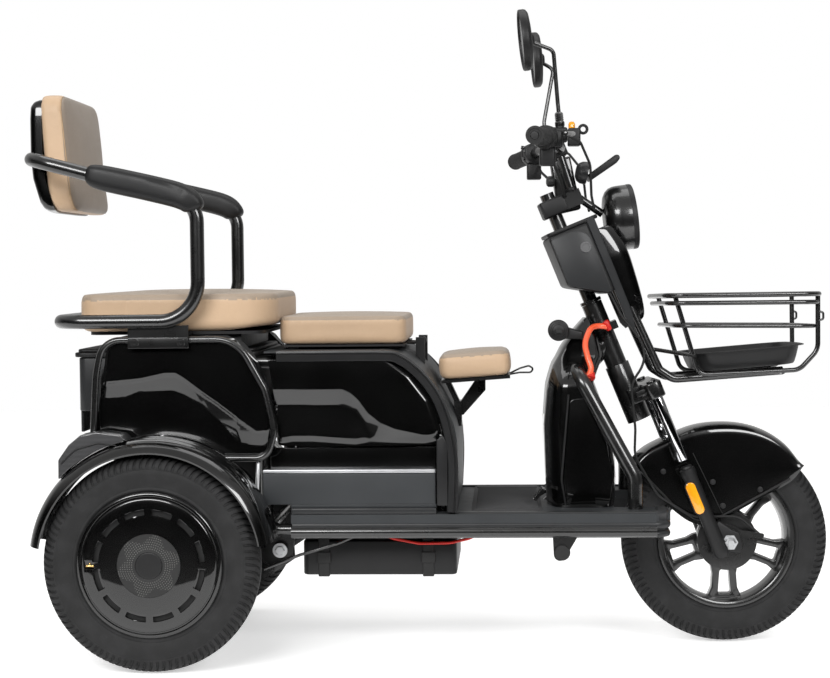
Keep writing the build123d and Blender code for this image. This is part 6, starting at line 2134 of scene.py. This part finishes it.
# ---------------------------------------------------------------- stage
class SCOOTER_OT_stage(Operator):
    """Pale floor, white surround, soft studio lights and the camera"""

    bl_idname = "scooter.stage"
    bl_label = "Stage"

    def execute(self, context):
        self.floor()
        self.surround(context.scene)
        self.lights()
        self.camera(context.scene)
        context.scene.view_settings.view_transform = "Standard"
        return {"FINISHED"}

    def floor(self):
        """Pale floor, with a faint sheen under the wheels."""
        clear()
        bpy.ops.mesh.primitive_grid_add(x_subdivisions=8, y_subdivisions=8, size=1)
        floor = named("studio_floor")
        for vertex in floor.data.vertices:
            vertex.co = Vector((vertex.co.x * 9, vertex.co.y * 7.3 + 2.35, -0.0005))
        finish = Finish("floor_pale", (0.9, 0.9, 0.9), 0.3, Specular_IOR_Level=0.25)
        tone = finish.noise(900, 2)
        finish.feed("Base Color", finish.mix(tone, (0.88, 0.88, 0.88), (0.92, 0.92, 0.92)))
        finish.feed("Roughness", 0.28 + finish.noise(240, 3) * 0.1)
        finish.shader.inputs["Emission Color"].default_value = (1, 1, 1, 1)
        finish.shader.inputs["Emission Strength"].default_value = 0.5
        floor.data.materials.append(finish.material)

    def surround(self, scene):
        """White for the camera; for reflections bright above and behind, dark in front."""
        world = bpy.data.worlds.new("studio_surround")
        world.use_nodes = True
        scene.world = world
        tree = world.node_tree
        tree.nodes.clear()

        def add(kind, settings=None, inputs=None):
            node = tree.nodes.new(kind)
            for key, value in (settings or {}).items():
                setattr(node, key, value)
            for key, value in (inputs or {}).items():
                if isinstance(value, bpy.types.NodeSocket):
                    tree.links.new(value, node.inputs[key])
                else:
                    node.inputs[key].default_value = value
            return node

        way = add("ShaderNodeTexCoord").outputs["Generated"]
        parts = add("ShaderNodeSeparateXYZ", None, {0: way}).outputs
        smoothly = {"interpolation_type": "SMOOTHSTEP"}
        above = add("ShaderNodeMapRange", smoothly, {"Value": parts["Z"], "From Min": 0.22,
            "From Max": 0.62, "To Max": 0.62})
        behind = add("ShaderNodeMapRange", smoothly, {"Value": parts["Y"], "From Min": -0.1,
            "From Max": 0.55, "To Max": 0.5})
        total = add("ShaderNodeMath", {"operation": "MAXIMUM"}, {0: above.outputs[0],
            1: behind.outputs[0]})
        light = add("ShaderNodeMath", {"operation": "ADD"}, {0: total.outputs[0], 1: 0.001})
        seen = add("ShaderNodeBackground", None, {"Color": (1, 1, 1, 1), "Strength": 1.0})
        felt = add("ShaderNodeBackground", None, {"Color": (1, 0.995, 0.985, 1),
            "Strength": light.outputs[0]})
        eye = add("ShaderNodeLightPath").outputs["Is Camera Ray"]
        both = add("ShaderNodeMixShader", None, {0: eye, 1: felt.outputs[0], 2: seen.outputs[0]})
        add("ShaderNodeOutputWorld", None, {"Surface": both.outputs[0]})

    def lights(self):
        """Soft boxes: two high on the camera's side and one overhead."""
        boxes = (
            ("key_box", (-1.3, -3.1, 2.1), (0, 0, 0.5), 2.0, 1.0, 105),
            ("front_box", (1.7, -2.8, 1.9), (0.2, 0, 0.5), 1.4, 0.9, 58),
            ("top_box", (0, 0.3, 3.0), (0, 0, 0.4), 3.0, 1.4, 26),
        )
        for name, place, target, wide, tall, power in boxes:
            lamp = bpy.data.lights.new(name, "AREA")
            lamp.shape = "RECTANGLE"
            lamp.size, lamp.size_y, lamp.energy = wide, tall, power
            box = bpy.data.objects.new(name, lamp)
            bpy.context.scene.collection.objects.link(box)
            aim = Vector(target) - Vector(place)
            box.location = place
            box.rotation_euler = aim.to_track_quat("-Z", "Y").to_euler()

    def camera(self, scene):
        """Long lens from the right-hand side, a little above the deck."""
        yaw, pitch, roll = 0.0519, 0.0400, -0.0102
        ahead = Vector((-sin(yaw) * cos(pitch), cos(yaw) * cos(pitch), -sin(pitch)))
        right = Vector((cos(yaw), sin(yaw), 0))
        up = right.cross(ahead)
        across = right * cos(roll) + up * sin(roll)
        upward = up * cos(roll) - right * sin(roll)
        view = bpy.data.cameras.new("camera")
        view.lens, view.sensor_width = 78.18, 36
        eye = bpy.data.objects.new("camera", view)
        scene.collection.objects.link(eye)
        turn = Matrix((across, upward, -ahead)).transposed().to_4x4()
        eye.matrix_world = Matrix.Translation((0.1503, -3.6686, 0.763)) @ turn
        scene.camera = eye


# ---------------------------------------------------------------- add-on
PIECES = (
    SCOOTER_OT_tyres,
    SCOOTER_OT_wheel_covers,
    SCOOTER_OT_front_wheel,
    SCOOTER_OT_rear_fenders,
    SCOOTER_OT_side_panels,
    SCOOTER_OT_trunk,
    SCOOTER_OT_leg_shield,
    SCOOTER_OT_floor,
    SCOOTER_OT_rear_seat,
    SCOOTER_OT_driver_seat,
    SCOOTER_OT_child_seat,
    SCOOTER_OT_backrest,
    SCOOTER_OT_armrests,
    SCOOTER_OT_front_fender,
    SCOOTER_OT_fork,
    SCOOTER_OT_nose,
    SCOOTER_OT_controls,
    SCOOTER_OT_mirrors,
    SCOOTER_OT_basket,
    SCOOTER_OT_running_gear,
    SCOOTER_OT_fittings,
    SCOOTER_OT_stage,
)


class SCOOTER_PT_panel(Panel):
    """Sizes, colours and pieces of the scooter"""

    bl_idname = "SCOOTER_PT_panel"
    bl_label = "Scooter"
    bl_space_type = "VIEW_3D"
    bl_region_type = "UI"
    bl_category = "Scooter"

    def draw(self, context):
        scene = context.scene
        for title, group in (("Sizes", scene.scooter_sizes), ("Colours", scene.scooter_colours)):
            box = self.layout.box()
            box.label(text=title)
            for name in group.__annotations__:
                box.prop(group, name)
        pieces = self.layout.column()
        for piece in PIECES:
            pieces.operator(piece.bl_idname)


CLASSES = (ScooterSizes, ScooterColours, *PIECES, SCOOTER_PT_panel)


def register():
    for kind in CLASSES:
        bpy.utils.register_class(kind)
    bpy.types.Scene.scooter_sizes = PointerProperty(type=ScooterSizes)
    bpy.types.Scene.scooter_colours = PointerProperty(type=ScooterColours)


def unregister():
    del bpy.types.Scene.scooter_colours
    del bpy.types.Scene.scooter_sizes
    for kind in reversed(CLASSES):
        bpy.utils.unregister_class(kind)


def main():
    register()
    make_finishes()
    for piece in PIECES:
        group, name = piece.bl_idname.split(".")
        getattr(getattr(bpy.ops, group), name)()


if __name__ == "__main__":
    main()
